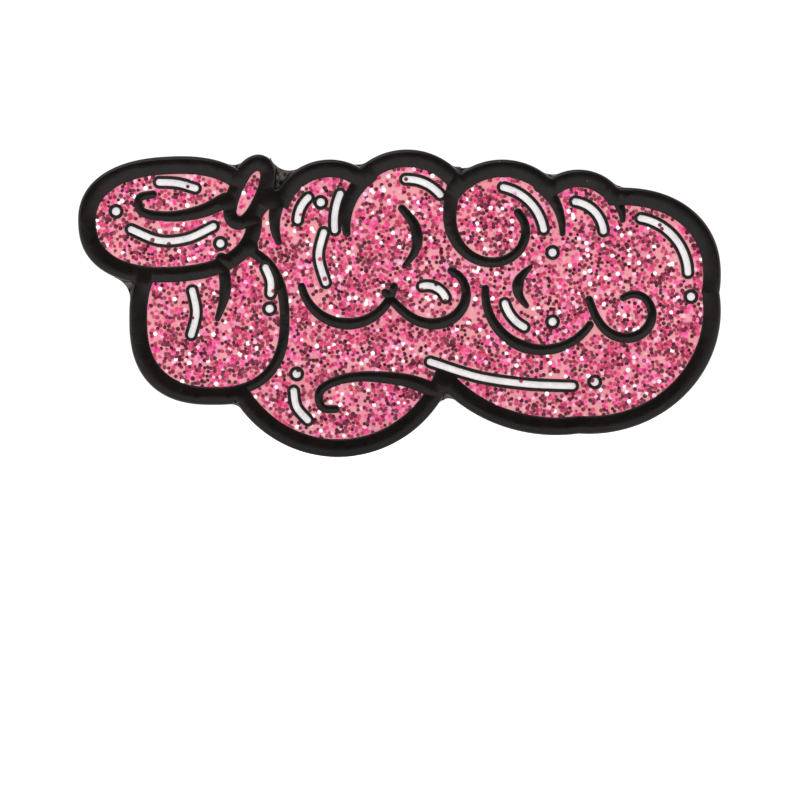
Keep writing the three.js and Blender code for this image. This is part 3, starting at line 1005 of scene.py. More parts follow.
@dataclass(frozen=True)
class Glitter:
    """Metallised hexagon flakes of one dye whose colour is painted glints and shade: each flake's random tone
    stands for the light or dark that its tilt would catch.
    """

    # Painted glints and shade: the dark maroon stops paint flakes in shade, and the pale pink and white stops
    # paint flakes that catch a highlight.
    tones: tuple[tuple[float, tuple[float, ...]], ...] = (
        (0.0, tone(70, 6, 30)),
        (0.2, tone(112, 10, 48)),
        (0.4, tone(158, 14, 70)),
        (0.6, tone(198, 20, 92)),
        (0.78, tone(226, 48, 138)),
        (0.87, tone(218, 118, 166)),
        (0.92, tone(244, 172, 198)),
        (0.96, tone(255, 246, 250)),
    )
    # Ends of a smooth blend of the same painted shade and glints.
    painted_shade_blend: tuple[float, ...] = tone(150, 20, 74)
    painted_glint_blend: tuple[float, ...] = tone(255, 235, 240)

    def build(self) -> bpy.types.Material:
        """Makes the material."""
        r = Recipe("glitter_flake", Specular_IOR_Level=0.16, Coat_Weight=0.12, Coat_Roughness=0.1)
        # Painted glints and shade, picked by each flake's random tone.
        base = r.ramp(r.attribute("tone"), list(self.tones), step=True)
        # Here and there noise softens the painted glints and shade towards a smooth blend of them.
        painted_blend_share = r.spread(r.noise(9.0, 2.0), 0.3, 0.7, 0.0, 0.16)
        painted_glint_and_shade = r.ramp(r.attribute("tone"), [(0.0, self.painted_shade_blend), (1.0, self.painted_glint_blend)])
        base = r.mix(painted_blend_share, base, painted_glint_and_shade)
        return r.into(Base_Color=base, Roughness=r.spread(r.noise(6.0, 2.0), 0.3, 0.7, 0.2, 0.4)).material


@dataclass(frozen=True)
class Nickel:
    """Warm bright nickel plate with fine scratches and stains."""

    name: str
    bright: tuple[float, ...] = tone(206, 198, 184)
    stain: tuple[float, ...] = tone(150, 138, 120)

    def build(self) -> bpy.types.Material:
        """Makes the material."""
        r = Recipe(self.name, Metallic=1.0)
        cloudy = r.spread(r.noise(0.7, 5.0), 0.42, 0.72)
        base = r.mix(r.times(cloudy, 0.6), self.bright, self.stain)
        scratches = r.noise(6.0, 4.0, r.stretched((1.0, 0.12, 1.0)))
        pits = r.spread(r.cells(2.6), 0.09, 0.02)
        relief = r.bump(scratches, 0.006, 0.35, r.bump(r.noise(0.9, 3.0), 0.05, 0.25))
        return r.into(
            Base_Color=base,
            Roughness=r.spread(r.noise(3.0, 5.0), 0.3, 0.75, 0.1, 0.26),
            Normal=r.bump(pits, 0.01, -0.4, relief),
        ).material


# ---- Geometry Nodes -----------------------------------------------------------------------------------


class NodeTree:
    """A Geometry Nodes tree with named inputs, and its use on an object."""

    def __init__(self, name: str) -> None:
        """Starts a tree with a geometry coming in and one going out."""
        self.tree = bpy.data.node_groups.new(name, "GeometryNodeTree")
        self.ids: dict[str, str] = {}
        self.way_in = self.tree.nodes.new("NodeGroupInput")
        self.input("Geometry", "NodeSocketGeometry")
        self.tree.interface.new_socket("Geometry", in_out="OUTPUT", socket_type="NodeSocketGeometry")
        self.way_out = self.tree.nodes.new("NodeGroupOutput")

    def input(self, name: str, kind: str = "NodeSocketFloat") -> None:
        """Adds a named input."""
        self.ids[name] = self.tree.interface.new_socket(name, in_out="INPUT", socket_type=kind).identifier

    def given(self, name: str) -> Socket:
        """The socket that an input's value comes out of."""
        return self.way_in.outputs[name]

    def node(
        self, kind: str, inputs: dict[object, object] | None = None, **settings: object
    ) -> bpy.types.Node:
        """Adds a node.

        Args:
            kind: The node's type.
            inputs: Links or values of its inputs, by name or number.
            **settings: The node's properties.

        Returns:
            The node.
        """
        made = self.tree.nodes.new(kind)
        for key, value in settings.items():
            setattr(made, key, value)
        for key, value in (inputs or {}).items():
            if isinstance(value, bpy.types.NodeSocket):
                self.tree.links.new(value, made.inputs[key])
            else:
                made.inputs[key].default_value = value
        return made

    def finish(self, geometry: Socket) -> None:
        """Ends the tree in Realize Instances and Set Material."""
        real = self.node("GeometryNodeRealizeInstances", {"Geometry": geometry})
        dressed = self.node(
            "GeometryNodeSetMaterial", {"Geometry": real.outputs[0], "Material": self.given("Material")}
        )
        self.tree.links.new(dressed.outputs[0], self.way_out.inputs[0])

    def applied(self, source: bpy.types.Object, name: str, values: dict[str, object]) -> bpy.types.Object:
        """Runs the tree on an object and keeps the result as a plain mesh.

        Args:
            source: The object that the tree works on. It is removed.
            name: Name of the new piece.
            values: The tree's inputs by name.

        Returns:
            The new piece.
        """
        modifier = source.modifiers.new("grown", "NODES")
        modifier.node_group = self.tree
        for key, value in values.items():
            modifier[self.ids[key]] = value
        graph = bpy.context.evaluated_depsgraph_get()
        mesh = bpy.data.meshes.new_from_object(
            source.evaluated_get(graph), preserve_all_data_layers=True, depsgraph=graph
        )
        mesh.name = name
        source.modifiers.remove(modifier)
        made = bpy.data.objects.new(name, mesh)
        bpy.context.scene.collection.objects.link(made)
        bpy.data.objects.remove(source)
        return made


def flake_tree() -> NodeTree:
    """The tree that scatters hexagon flakes over a surface."""
    t = NodeTree("scattered_flakes")
    for name in ("Spacing", "Density", "Radius", "Tilt", "Lift", "Sink"):
        t.input(name)
    t.input("Seed", "NodeSocketInt")
    t.input("Material", "NodeSocketMaterial")
    share = t.node("GeometryNodeInputNamedAttribute", {"Name": "share"}, data_type="FLOAT").outputs[0]
    spots = t.node(
        "GeometryNodeDistributePointsOnFaces",
        {
            "Mesh": t.given("Geometry"),
            "Distance Min": t.given("Spacing"),
            "Density Max": t.given("Density"),
            "Density Factor": share,
            "Seed": t.given("Seed"),
        },
        distribute_method="POISSON",
    )

    def random(low: float, high: float, seed: int) -> Socket:
        """A random number for each flake."""
        return t.node(
            "FunctionNodeRandomValue", {2: low, 3: high, "Seed": seed}, data_type="FLOAT"
        ).outputs[1]

    def product(one: Socket, other: Socket) -> Socket:
        """The product of two numbers."""
        return t.node("ShaderNodeMath", {0: one, 1: other}, operation="MULTIPLY").outputs[0]

    lean = t.node(
        "ShaderNodeCombineXYZ",
        {
            0: product(random(-1.0, 1.0, 11), t.given("Tilt")),
            1: product(random(-1.0, 1.0, 12), t.given("Tilt")),
            2: random(0.0, 6.283, 13),
        },
    )
    euler = t.node("FunctionNodeEulerToRotation", {0: lean.outputs[0]})
    turn = t.node(
        "FunctionNodeRotateRotation",
        {0: spots.outputs["Rotation"], 1: euler.outputs[0]},
        rotation_space="LOCAL",
    )
    shift = product(random(-1.0, 1.0, 14), t.given("Sink"))
    depth = t.node("ShaderNodeMath", {0: t.given("Lift"), 1: shift}, operation="ADD").outputs[0]
    drop = t.node(
        "ShaderNodeVectorMath", {0: spots.outputs["Normal"], "Scale": depth}, operation="SCALE"
    )
    placed = t.node(
        "GeometryNodeSetPosition", {"Geometry": spots.outputs["Points"], "Offset": drop.outputs[0]}
    )
    hexagon = t.node(
        "GeometryNodeMeshCylinder", {"Vertices": 6, "Radius": 1.0, "Depth": 0.12}, fill_type="NGON"
    )
    size = product(random(0.78, 1.12, 15), t.given("Radius"))
    flakes = t.node(
        "GeometryNodeInstanceOnPoints",
        {
            "Points": placed.outputs[0],
            "Instance": hexagon.outputs["Mesh"],
            "Rotation": turn.outputs[0],
            "Scale": size,
        },
    )
    # A random tone for each flake, which the glitter material turns into painted glints and shade.
    toned = t.node(
        "GeometryNodeStoreNamedAttribute",
        {"Geometry": flakes.outputs[0], "Name": "tone", "Value": random(0.0, 1.0, 16)},
        data_type="FLOAT",
        domain="INSTANCE",
    )
    t.finish(toned.outputs[0])
    return t


def wire_tree() -> NodeTree:
    """The tree that draws a flattened wire with round edges along a line of edges."""
    t = NodeTree("flattened_wire")
    for name in ("Width", "Thickness", "Rounding"):
        t.input(name)
    t.input("Flat side", "NodeSocketVector")
    t.input("Material", "NodeSocketMaterial")
    line = t.node("GeometryNodeMeshToCurve", {"Mesh": t.given("Geometry")})
    path = t.node(
        "GeometryNodeSetCurveNormal",
        {"Curve": line.outputs[0], "Normal": t.given("Flat side")},
        mode="FREE",
    )
    section = t.node(
        "GeometryNodeCurvePrimitiveQuadrilateral",
        {"Width": t.given("Thickness"), "Height": t.given("Width")},
        mode="RECTANGLE",
    )
    smooth = t.node(
        "GeometryNodeFilletCurve",
        {"Curve": section.outputs[0], "Radius": t.given("Rounding"), "Count": 4},
        mode="POLY",
    )
    swept = t.node(
        "GeometryNodeCurveToMesh",
        {"Curve": path.outputs[0], "Profile Curve": smooth.outputs[0], "Fill Caps": True},
    )
    t.finish(swept.outputs[0])
    return t


# ---- The pin ------------------------------------------------------------------------------------------


def settle(
    piece: bpy.types.Object, material: bpy.types.Material, slot: Slot, body: Body, *nodes: str
) -> None:
    """Dresses a piece, lets it stand for its CAD nodes and sets it riding on its body.

    Args:
        piece: The finished object.
        material: Its material.
        slot: The record's slot for its finish. Not used.
        body: The body that it rides on.
        *nodes: The CAD nodes that it stands for.
    """
    piece.data.materials.clear()
    piece.data.materials.append(material)
    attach(piece, body.value)
    if nodes:
        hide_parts(*nodes)
    LOG.info("%s: %d faces, rides on %s", piece.name, len(piece.data.polygons), body.value)


@dataclass
class Stamp:
    """The smooth panel on the back, with a plain diamond and two plain bars standing up from it."""

    low: tuple[float, float] = (3.4, -2.6)
    high: tuple[float, float] = (13.0, 4.3)
    rise: float = 0.09
    slope: float = 0.09

    def marks(self) -> dict[str, np.ndarray]:
        """Outlines of the raised marks. A name with hole is the opening of one."""
        wide = np.array([[2.1, 0], [0, 1.45], [-2.1, 0], [0, -1.45]])
        centre = np.array([8.2, 2.0])
        bar = Stroke(np.array([[5.0, -0.75], [11.4, -0.75]]), (0.17,) * 3)
        short = Stroke(np.array([[6.4, -1.65], [10.0, -1.65]]), (0.13,) * 3)
        return {
            "mark:diamond": centre + wide,
            "hole:diamond": centre + wide * 0.82,
            "mark:centre": centre + wide * 0.3,
            "mark:long_bar": bar.outline(0.4),
            "mark:short_bar": short.outline(0.4),
        }

    def outline(self) -> np.ndarray:
        """The panel's outline."""
        (x0, z0), (x1, z1) = self.low, self.high
        return np.array([[x0, z0], [x1, z0], [x1, z1], [x0, z1]])

    def inside(self, points: np.ndarray) -> np.ndarray:
        """How far each point is inside the panel; negative outside."""
        low = points - np.array(self.low)
        high = np.array(self.high) - points
        return np.minimum(low, high).min(1)


@dataclass
class PinBody:
    """The struck body with its raised lines, the enamel fillings and the glitter in them."""

    drawing: Drawing = field(default_factory=Drawing)
    stamp: Stamp = field(default_factory=Stamp)
    thickness: float = 1.5
    line_drop: float = 0.065
    line_round: float = 0.07
    edge_round: float = 0.2
    plate_height: float = 1.02
    floor: float = 0.9
    enamel_top: float = 1.462
    back_round: float = 0.13
    crinkle: float = 0.13
    ring_step: float = 0.07
    web_step: float = 0.13
    back_step: float = 0.115

    def build(self) -> None:
        """Builds and dresses every piece of the body."""
        self.plan_face()
        self.black = BlackPlating().build()
        self.build_metal()
        self.build_fillings()
        self.build_glitter()

    def plan_face(self) -> None:
        """Cuts up the face and works out every point's height."""
        first = Plan.of_outlines(self.drawing.regions(), self.drawing.kind)
        is_metal = "metal".__eq__
        is_fill = self.is_filling
        within = first.borders(is_metal, is_fill)
        outer = first.borders(is_metal, lambda k: k in ("plate", "nothing"))
        filled = first.borders(is_fill, is_metal)
        plated = first.borders(lambda k: k == "plate", lambda k: k in ("metal", "nothing"))
        near_fill = Nearness(first.points, within)
        near_edge = Nearness(first.points, outer)
        extra = np.vstack(
            [
                rings(first.points, within, (0.015, 0.04, 0.074), self.ring_step),
                rings(first.points, filled, (0.06, 0.16), self.ring_step),
                rings(first.points, outer, (0.01, 0.035, 0.08, 0.14, 0.22), self.ring_step),
            ]
        )
        near = np.minimum(near_fill.of(extra[:, :2]), near_edge.of(extra[:, :2]))
        extra = spaced(extra, near)
        grid = jittered_grid(first.points.min(0), first.points.max(0), self.web_step, 5)
        web = np.unique(first.tris[first.kinds == "plate"])
        to_web = Nearness(first.points, plated)
        low, high = first.points[web].min(0), first.points[web].max(0)
        grid = grid[((grid > low) & (grid < high)).all(1)]
        covered = np.zeros(len(grid), bool)
        for puff in self.drawing.puffs.values():
            covered |= puff.level(0.02, grid) < 1
        grid = grid[~covered & (to_web.of(grid) < 0.6)]
        self.plan = first.refined(np.vstack([extra, grid]))
        points = self.plan.points
        self.to_fill, self.to_edge = near_fill.of(points), near_edge.of(points)
        inner = self.line_drop * np.clip(1 - self.to_fill / self.line_round, 0, 1) ** 2.2
        r = self.edge_round
        short = np.clip(r - self.to_edge, 0, r)
        outer_drop = r - np.sqrt(r * r - short * short)
        self.top = self.thickness - np.maximum(inner, outer_drop)
        rough = Wrinkles(21)
        self.web = self.plate_height + 0.09 * rough.ridges(points[:, 0] * 2.2, points[:, 1] * 2.2) - 0.05

    @staticmethod
    def is_filling(kind: str) -> bool:
        """Whether a place holds enamel."""
        return kind.startswith(("enamel", "highlight"))

    def silhouette(self) -> np.ndarray:
        """The outline of the whole body, as point numbers in order."""
        edges = self.plan.borders(lambda k: k != "nothing", lambda k: k == "nothing")
        onward = dict(edges.tolist())
        start = max(onward, key=lambda i: self.plan.points[i, 0])
        loop = [start]
        while onward[loop[-1]] != start:
            loop.append(onward[loop[-1]])
        return np.array(loop)

    def build_metal(self) -> None:
        """The body: its front with walls and cell floors, its side and its crinkled back."""
        plan, points = self.plan, self.plan.points
        shell = Shell()
        floor = np.full(len(points), self.floor)
        foot = np.full(len(points), self.back_round)
        filled = np.char.startswith(plan.kinds, "enamel") | np.char.startswith(plan.kinds, "highlight")
        shell.cap(points, plan.tris[plan.kinds == "metal"], self.top, True)
        shell.cap(points, plan.tris[filled], floor, True)
        shell.cap(points, plan.tris[plan.kinds == "plate"], self.web, True, 1.0)
        shell.wall(points, plan.borders("metal".__eq__, self.is_filling), [self.top, floor])
        shell.wall(points, plan.borders("metal".__eq__, "plate".__eq__), [self.top, self.web], 0.4)
        low_side = plan.borders("plate".__eq__, "nothing".__eq__)
        high_side = plan.borders("metal".__eq__, "nothing".__eq__)
        steps = [self.top + (foot - self.top) * share for share in (0, 0.12, 0.5, 0.88, 1)]
        # Where the border meets a web, both sides and the web's wall share one upright line, so they
        # break it at the same heights.
        shared = np.zeros(len(points), bool)
        shared[np.intersect1d(low_side, high_side)] = True
        steps[1] = np.where(shared, self.web, steps[1])
        low_steps = [
            np.where(shared, step, foot + (self.web - foot) * share)
            for step, share in ((steps[2], 0.65), (steps[3], 0.16))
        ]
        shell.wall(points, low_side, [self.web, *low_steps, foot], 0.5)
        shell.wall(points, high_side, steps)
        self.add_back(shell)
        settle(shell.build("pin_shell"), self.black, Slot.BLACK, Body.PIN, "pin_body")

    def add_back(self, shell: Shell) -> None:
        """Adds the crinkled back with its smooth stamped panel.

        Args:
            shell: The body's surface so far.
        """
        outline = self.plan.points[self.silhouette()]
        count = len(outline)
        edges = np.column_stack([np.arange(count), (np.arange(count) + 1) % count])
        to_edge = Nearness(outline, edges)
        marks = self.stamp.marks()
        grid = jittered_grid(outline.min(0), outline.max(0), self.back_step, 9)
        smooth = self.stamp.inside(grid) > 0.2
        grid = grid[~smooth | (np.arange(len(grid)) % 3 == 0)]
        rim = rings(outline, edges, (0.03, 0.08, 0.14), 0.12)[:, :2]
        lips = []
        for name, path in marks.items():
            n = len(path)
            sides = np.column_stack([np.arange(n), (np.arange(n) + 1) % n])
            sides = sides if name.startswith("mark") else sides[:, ::-1]
            lips.append(self.fine_ring(path, sides, self.stamp.slope))
        spots = np.vstack([grid[to_edge.of(grid) > 0.17], rim, *lips])
        regions = {"back": outline, "panel": self.stamp.outline(), **marks}

        def kind(inside: set[str]) -> str:
            """Names a place on the back."""
            raised = any(n.startswith("mark") for n in inside)
            pierced = "hole:diamond" in inside and "mark:centre" not in inside
            place = "panel" if "panel" in inside else "back"
            return "raised" if raised and not pierced else place if "back" in inside else "nothing"

        plan = Plan.of_outlines(regions, kind).refined(spots)
        points = plan.points
        lip = Nearness(points, plan.borders("raised".__eq__, lambda k: k != "raised"))
        raised = np.zeros(len(points), bool)
        raised[np.unique(plan.tris[plan.kinds == "raised"])] = True
        up = np.where(raised, np.clip(lip.of(points) / self.stamp.slope, 0, 1), 0) * self.stamp.rise
        wrinkles = Wrinkles(4)
        bumps = wrinkles.ridges(points[:, 0], points[:, 1]) * self.crinkle
        panel = np.clip(self.stamp.inside(points) / 0.25 + 0.5, 0, 1)
        panel = panel * panel * (3 - 2 * panel)
        seat = np.clip((np.hypot(points[:, 0], points[:, 1]) - 1.8) / 0.5, 0, 1)
        edge = to_edge.of(points)
        calm = np.clip(edge / 0.45, 0, 1)
        out = bumps * (1 - panel) * seat * calm + up - 0.04 * panel * seat
        r = self.back_round
        short = np.clip(r - edge, 0, r)
        height = r - np.sqrt(r * r - short * short) - out
        keep = plan.kinds != "nothing"
        shell.cap(points, plan.tris[keep], height, False)

    @staticmethod
    def fine_ring(path: np.ndarray, sides: np.ndarray, depth: float) -> np.ndarray:
        """Points a little inside a coarse outline, close together.

        Args:
            path: The outline's corners.
            sides: Pairs of corner numbers, with the inside on their left.
            depth: How far inside the points lie.

        Returns:
            The points.
        """
        a, b = path[sides[:, 0]], path[sides[:, 1]]
        found = []
        for one, other in zip(a, b):
            length = np.linalg.norm(other - one)
            if length < 1e-6:
                continue
            way = (other - one) / length
            normal = np.array([-way[1], way[0]])
            count = max(1, round(length / 0.1))
            share = (np.arange(count) + 0.5)[:, None] / count
            found.append(one + (other - one) * share + normal * depth)
        return np.vstack(found)

    def build_fillings(self) -> None:
        """The pink cells and the white highlights, each a closed filling of its own."""
        plan, points = self.plan, self.plan.points
        pink, white = PinkEnamel().build(), WhiteEnamel().build()
        edge_height = self.thickness - self.line_drop
        rise = self.enamel_top - edge_height
        skin = edge_height + rise * (1 - np.exp(-self.to_fill / 0.06))
        wave = Wrinkles(33).noise(points[:, 0] * 0.6, points[:, 1] * 0.6)
        skin = skin + 0.006 * wave * np.clip(self.to_fill / 0.3, 0, 1)
        bottom = np.full(len(points), self.floor + 0.004)
        self.skin = skin
        for name in sorted(set(plan.kinds.tolist())):
            if not self.is_filling(name):
                continue
            shell = Shell()
            mine = plan.tris[plan.kinds == name]
            shell.cap(points, mine, skin, True)
            shell.cap(points, mine, bottom, False)
            shell.wall(points, plan.borders(name.__eq__, lambda k, own=name: k != own), [skin, bottom])
            is_pink = name.startswith("enamel")
            material, slot = (pink, Slot.PINK) if is_pink else (white, Slot.WHITE)
            settle(shell.build(f"{name}_filling"), material, slot, Body.PIN, name)

    def build_glitter(self) -> None:
        """Hexagon flakes scattered through the enamel by Geometry Nodes."""
        plan, points = self.plan, self.plan.points
        kinds = np.char.startswith(plan.kinds, "enamel") | np.char.startswith(plan.kinds, "highlight")
        used, index = np.unique(plan.tris[kinds], return_inverse=True)
        mesh = bpy.data.meshes.new("flake_bed")
        verts = np.column_stack([points[used, 0], -self.skin[used], points[used, 1]]) * MM
        mesh.from_pydata(verts.tolist(), [], index.reshape(-1, 3).tolist())
        white = np.zeros(len(points), bool)
        white[np.unique(plan.tris[np.char.startswith(plan.kinds, "highlight")])] = True
        wave = Wrinkles(8).noise(points[:, 0] * 0.5, points[:, 1] * 0.5)
        share = np.clip(0.9 + 1.0 * wave, 0.35, 1.0)
        share = np.where(self.to_fill < 0.03, 0.0, share)
        share = np.where(white, 0.05, share)
        layer = mesh.attributes.new("share", "FLOAT", "POINT")
        layer.data.foreach_set("value", share[used].astype(np.float32))
        bed = bpy.data.objects.new("flake_bed", mesh)
        bpy.context.scene.collection.objects.link(bed)
        material = Glitter().build()
        flakes = flake_tree().applied(
            bed,
            "glitter_flakes",
            {
                "Spacing": 0.138 * MM,
                "Density": 150.0 / MM**2,
                "Radius": 0.112 * MM,
                "Tilt": 0.08,
                "Lift": 0.011 * MM,
                "Sink": 0.005 * MM,
                "Seed": 6,
                "Material": material,
            },
        )
        settle(flakes, material, Slot.PINK, Body.PIN)


@dataclass
class Post:
    """The nail-shaped post that goes through the cloth."""

    radius: float = 0.55
    length: float = 8.3
    head_radius: float = 1.7
    head_height: float = 0.35
    groove: tuple[float, float, float] = (6.2, 6.8, 0.12)
    head_bevel: float = 0.06
    head_round: float = 0.18
    neck_round: float = 0.22
    tip_length: float = 1.25
    seat: float = 0.01

    def profile(self) -> np.ndarray:
        """Radius and height along the post, from the middle of its head to its tip."""
        low, high, deep = self.groove
        r, h, wide, bevel = self.radius, self.head_height, self.head_radius, self.head_bevel
        edge, neck = self.head_round, self.neck_round
        head = [(0, self.seat), (wide - bevel, self.seat), (wide, bevel)]
        head += arc_points((wide - edge, h - edge), edge, 0, 90, 7)
        head += arc_points((r + neck, h + neck), neck, -90, -180, 7)
        waist = [
            (r - deep / 2 * (1 - math.cos(2 * math.pi * t)), low + (high - low) * t)
            for t in np.linspace(0, 1, 17)
        ]
        start = self.length - self.tip_length
        tip = [
            (max(0.0, r * math.cos(math.pi / 2 * t) ** 0.75), start + self.tip_length * t**0.92)
            for t in np.linspace(0, 1, 15)
        ]
        tip[-1] = (0.0, self.length)
        return np.array([*head, *waist, *tip])

    def build(self) -> None:
        """Builds and dresses the post."""
        piece = turned("post_turned", self.profile(), 64)
        settle(piece, Nickel("post_nickel").build(), Slot.POST, Body.PIN, "post")


@dataclass
class Clutch:
    """The butterfly clutch: a base with a rolled rim, a bell cover with a bridge, and a wire spring."""

    bottom: float = 2.6
    radius: float = 5.75
    sheet: float = 0.3
    bore: float = 0.8
    flange: float = 5.38
    well: float = 4.45
    apex: float = 8.75
    post_radius: float = 0.55
    wire: tuple[float, float] = (0.55, 0.28)
    wing_foot: float = 3.1
    wing_height: float = 4.7
    wing_inner: float = 0.5
    wing_lean: float = 8.0
    wing_bow: float = 0.3
    wing_pinch: float = 0.2
    foot_gap: float = 0.1
    roll: tuple[float, float] = (0.53, 0.27)
    rim_sides: int = 144

    def build(self) -> None:
        """Builds and dresses every piece of the clutch."""
        self.nickel = Nickel("clutch_nickel").build()
        rim = turned("clutch_rim", self.rim_profile(), self.rim_sides)
        settle(rim, self.nickel, Slot.CLUTCH, Body.CLUTCH, "clutch_base")
        settle(self.cover(), self.nickel, Slot.CLUTCH, Body.CLUTCH, "clutch_cover")
        self.tree = wire_tree()
        settle(self.spring(), self.nickel, Slot.CLUTCH, Body.CLUTCH, "clutch_spring")
        settle(self.wing(-1), self.nickel, Slot.CLUTCH, Body.WING_LEFT, "clutch_wing_left")
        settle(self.wing(1), self.nickel, Slot.CLUTCH, Body.WING_RIGHT, "clutch_wing_right")

    def rim_profile(self) -> np.ndarray:
        """The base's closed section: a flat disc whose edge is rolled over the cover's flange."""
        y, (out, inner) = self.bottom, self.roll
        centre = (self.radius - out, y + out)
        outside = arc_points(centre, out, -90, 112, 22)
        inside = arc_points(centre, inner, 112, -75, 18)
        hole = [(self.bore + 0.08, y + self.sheet), (self.bore, y + self.sheet - 0.08), (self.bore, y + 0.08)]
        return np.array([(self.bore + 0.08, y), *outside, *inside, (5.0, y + self.sheet), *hole])

    def skin(self, r: np.ndarray) -> np.ndarray:
        """Height of the cover's outer skin at a distance from the post's axis."""
        foot = self.bottom + 1.0
        t = np.clip(1 - r / self.well, 0, 1)
        bell = foot + (self.apex - foot) * np.sin(math.pi / 2 * t**1.35)
        land, flat = self.bottom + 0.68, self.well + 0.5
        fall = np.clip((r - self.well - 0.08) / 0.42, 0, 1)
        step = foot + (land - foot) * fall * fall * (3 - 2 * fall)
        return np.where(r <= self.well, bell, np.where(r < flat, step, land))

    def strap(self, z: np.ndarray) -> np.ndarray:
        """Half width of the bridge at a distance from its middle."""
        return 0.75 + 2.3 * (z / self.well) ** 2

    def opening(self, side: int) -> np.ndarray:
        """The outline of one side opening.

        Args:
            side: 1 on the right, -1 on the left.

        Returns:
            The outline.
        """
        reach = np.arange(0, self.well, 0.005)
        limit = reach[np.hypot(self.strap(reach), reach) < self.well - 0.05].max()
        share = np.linspace(-1, 1, 61)
        edge = np.stack([side * self.strap(limit * share), limit * share], 1)
        angle = -math.asin(limit / self.well) * share[1:-1]
        wall = self.well * np.stack([side * np.cos(angle), np.sin(angle)], 1)
        return np.vstack([edge, wall])

    def cover(self) -> bpy.types.Object:
        """The bell, with its flange, two openings and the bridge left between them."""
        regions = {
            "disc": circle(0, 0, self.flange, 200),
            "well": circle(0, 0, self.well, 180),
            "hole:left": self.opening(-1),
            "hole:right": self.opening(1),
        }

        def kind(inside: set[str]) -> str:
            """Names a place on the cover."""
            open_air = not inside or any(n.startswith("hole") for n in inside)
            return "nothing" if open_air else "sheet"

        first = Plan.of_outlines(regions, kind)
        cut = first.borders("sheet".__eq__, lambda k: k != "sheet")
        near = Nearness(first.points, cut)
        rows = rings(first.points, cut, (0.02, 0.05, 0.1, 0.16, 0.26), 0.1)
        rows = spaced(rows, near.of(rows[:, :2]))
        grid = jittered_grid(np.full(2, -self.flange), np.full(2, self.flange), 0.14, 2)
        grid = grid[np.hypot(grid[:, 0], grid[:, 1]) < self.flange - 0.1]
        grid = grid[near.of(grid) > 0.32]
        plan = first.refined(np.vstack([rows, grid]))
        points = plan.points
        r = np.hypot(points[:, 0], points[:, 1])
        step = 0.01
        rise = self.skin(r + step) - self.skin(np.maximum(r - step, 0))
        slope = rise / np.where(r > step, 2 * step, r + step)
        unit = points / np.maximum(r, 1e-6)[:, None]
        out = np.column_stack([-slope[:, None] * unit, np.ones(len(r))])
        out /= np.linalg.norm(out, axis=1)[:, None]
        half = self.sheet / 2
        near_cut = np.clip(near.of(points) / half, 0, 1)
        thick = half * np.sqrt(1 - (1 - near_cut) ** 2)
        skin = self.skin(r)
        middle = np.column_stack([points[:, 0], skin, points[:, 1]])
        normal = np.column_stack([out[:, 0], out[:, 2], out[:, 1]])
        middle = middle - normal * half
        shell = Shell()
        tris = plan.tris[plan.kinds == "sheet"]
        shell.add(middle + normal * thick[:, None], tris[:, ::-1])
        shell.add(middle - normal * thick[:, None], tris)
        piece = shell.build("clutch_bell", 60)
        self.drop_loose(piece)
        return piece

    @staticmethod
    def drop_loose(piece: bpy.types.Object) -> None:
        """Removes points that belong to no face."""
        with opened(piece.data) as mesh:
            bmesh.ops.delete(mesh, geom=[v for v in mesh.verts if not v.link_faces], context="VERTS")

    def wire_along(
        self, path: np.ndarray, closed: bool, flat_side: tuple[float, float, float], name: str
    ) -> bpy.types.Object:
        """A flattened wire that follows a path.

        Args:
            path: The path's points in millimetres.
            closed: True if the path is a loop.
            flat_side: The direction that the wire's flat side faces.
            name: Name of the piece.

        Returns:
            The piece.
        """
        mesh = bpy.data.meshes.new(f"{name}_path")
        count = len(path)
        edges = [(i, (i + 1) % count) for i in range(count if closed else count - 1)]
        mesh.from_pydata((path * MM).tolist(), edges, [])
        line = bpy.data.objects.new(f"{name}_path", mesh)
        bpy.context.scene.collection.objects.link(line)
        width, thick = self.wire
        values = {
            "Width": width * MM,
            "Thickness": thick * MM,
            "Rounding": thick * 0.42 * MM,
            "Flat side": flat_side,
            "Material": self.nickel,
        }
        piece = self.tree.applied(line, name, values)
        with opened(piece.data) as fixed:
            bmesh.ops.remove_doubles(fixed, verts=fixed.verts, dist=WELD)
            bmesh.ops.recalc_face_normals(fixed, faces=fixed.faces)
        piece.data.shade_smooth()
        piece.data.set_sharp_from_angle(angle=math.radians(50))
        return piece

    def spring(self) -> bpy.types.Object:
        """The flat loop that grips both sides of the post."""
        half = self.post_radius + 0.06 + self.wire[0] / 2
        straight = self.wing_foot - 0.12 - self.wire[0] / 2 - half
        y = self.bottom + self.sheet + 0.04 + self.wire[1] / 2
        points = []
        for side in (1, -1):
            for angle in np.radians(np.linspace(-90, 90, 19)) + (0 if side > 0 else math.pi):
                points.append((side * straight + half * math.cos(angle), y, half * math.sin(angle)))
        return self.wire_along(np.array(points), True, (0.0, 1.0, 0.0), "clutch_grip")

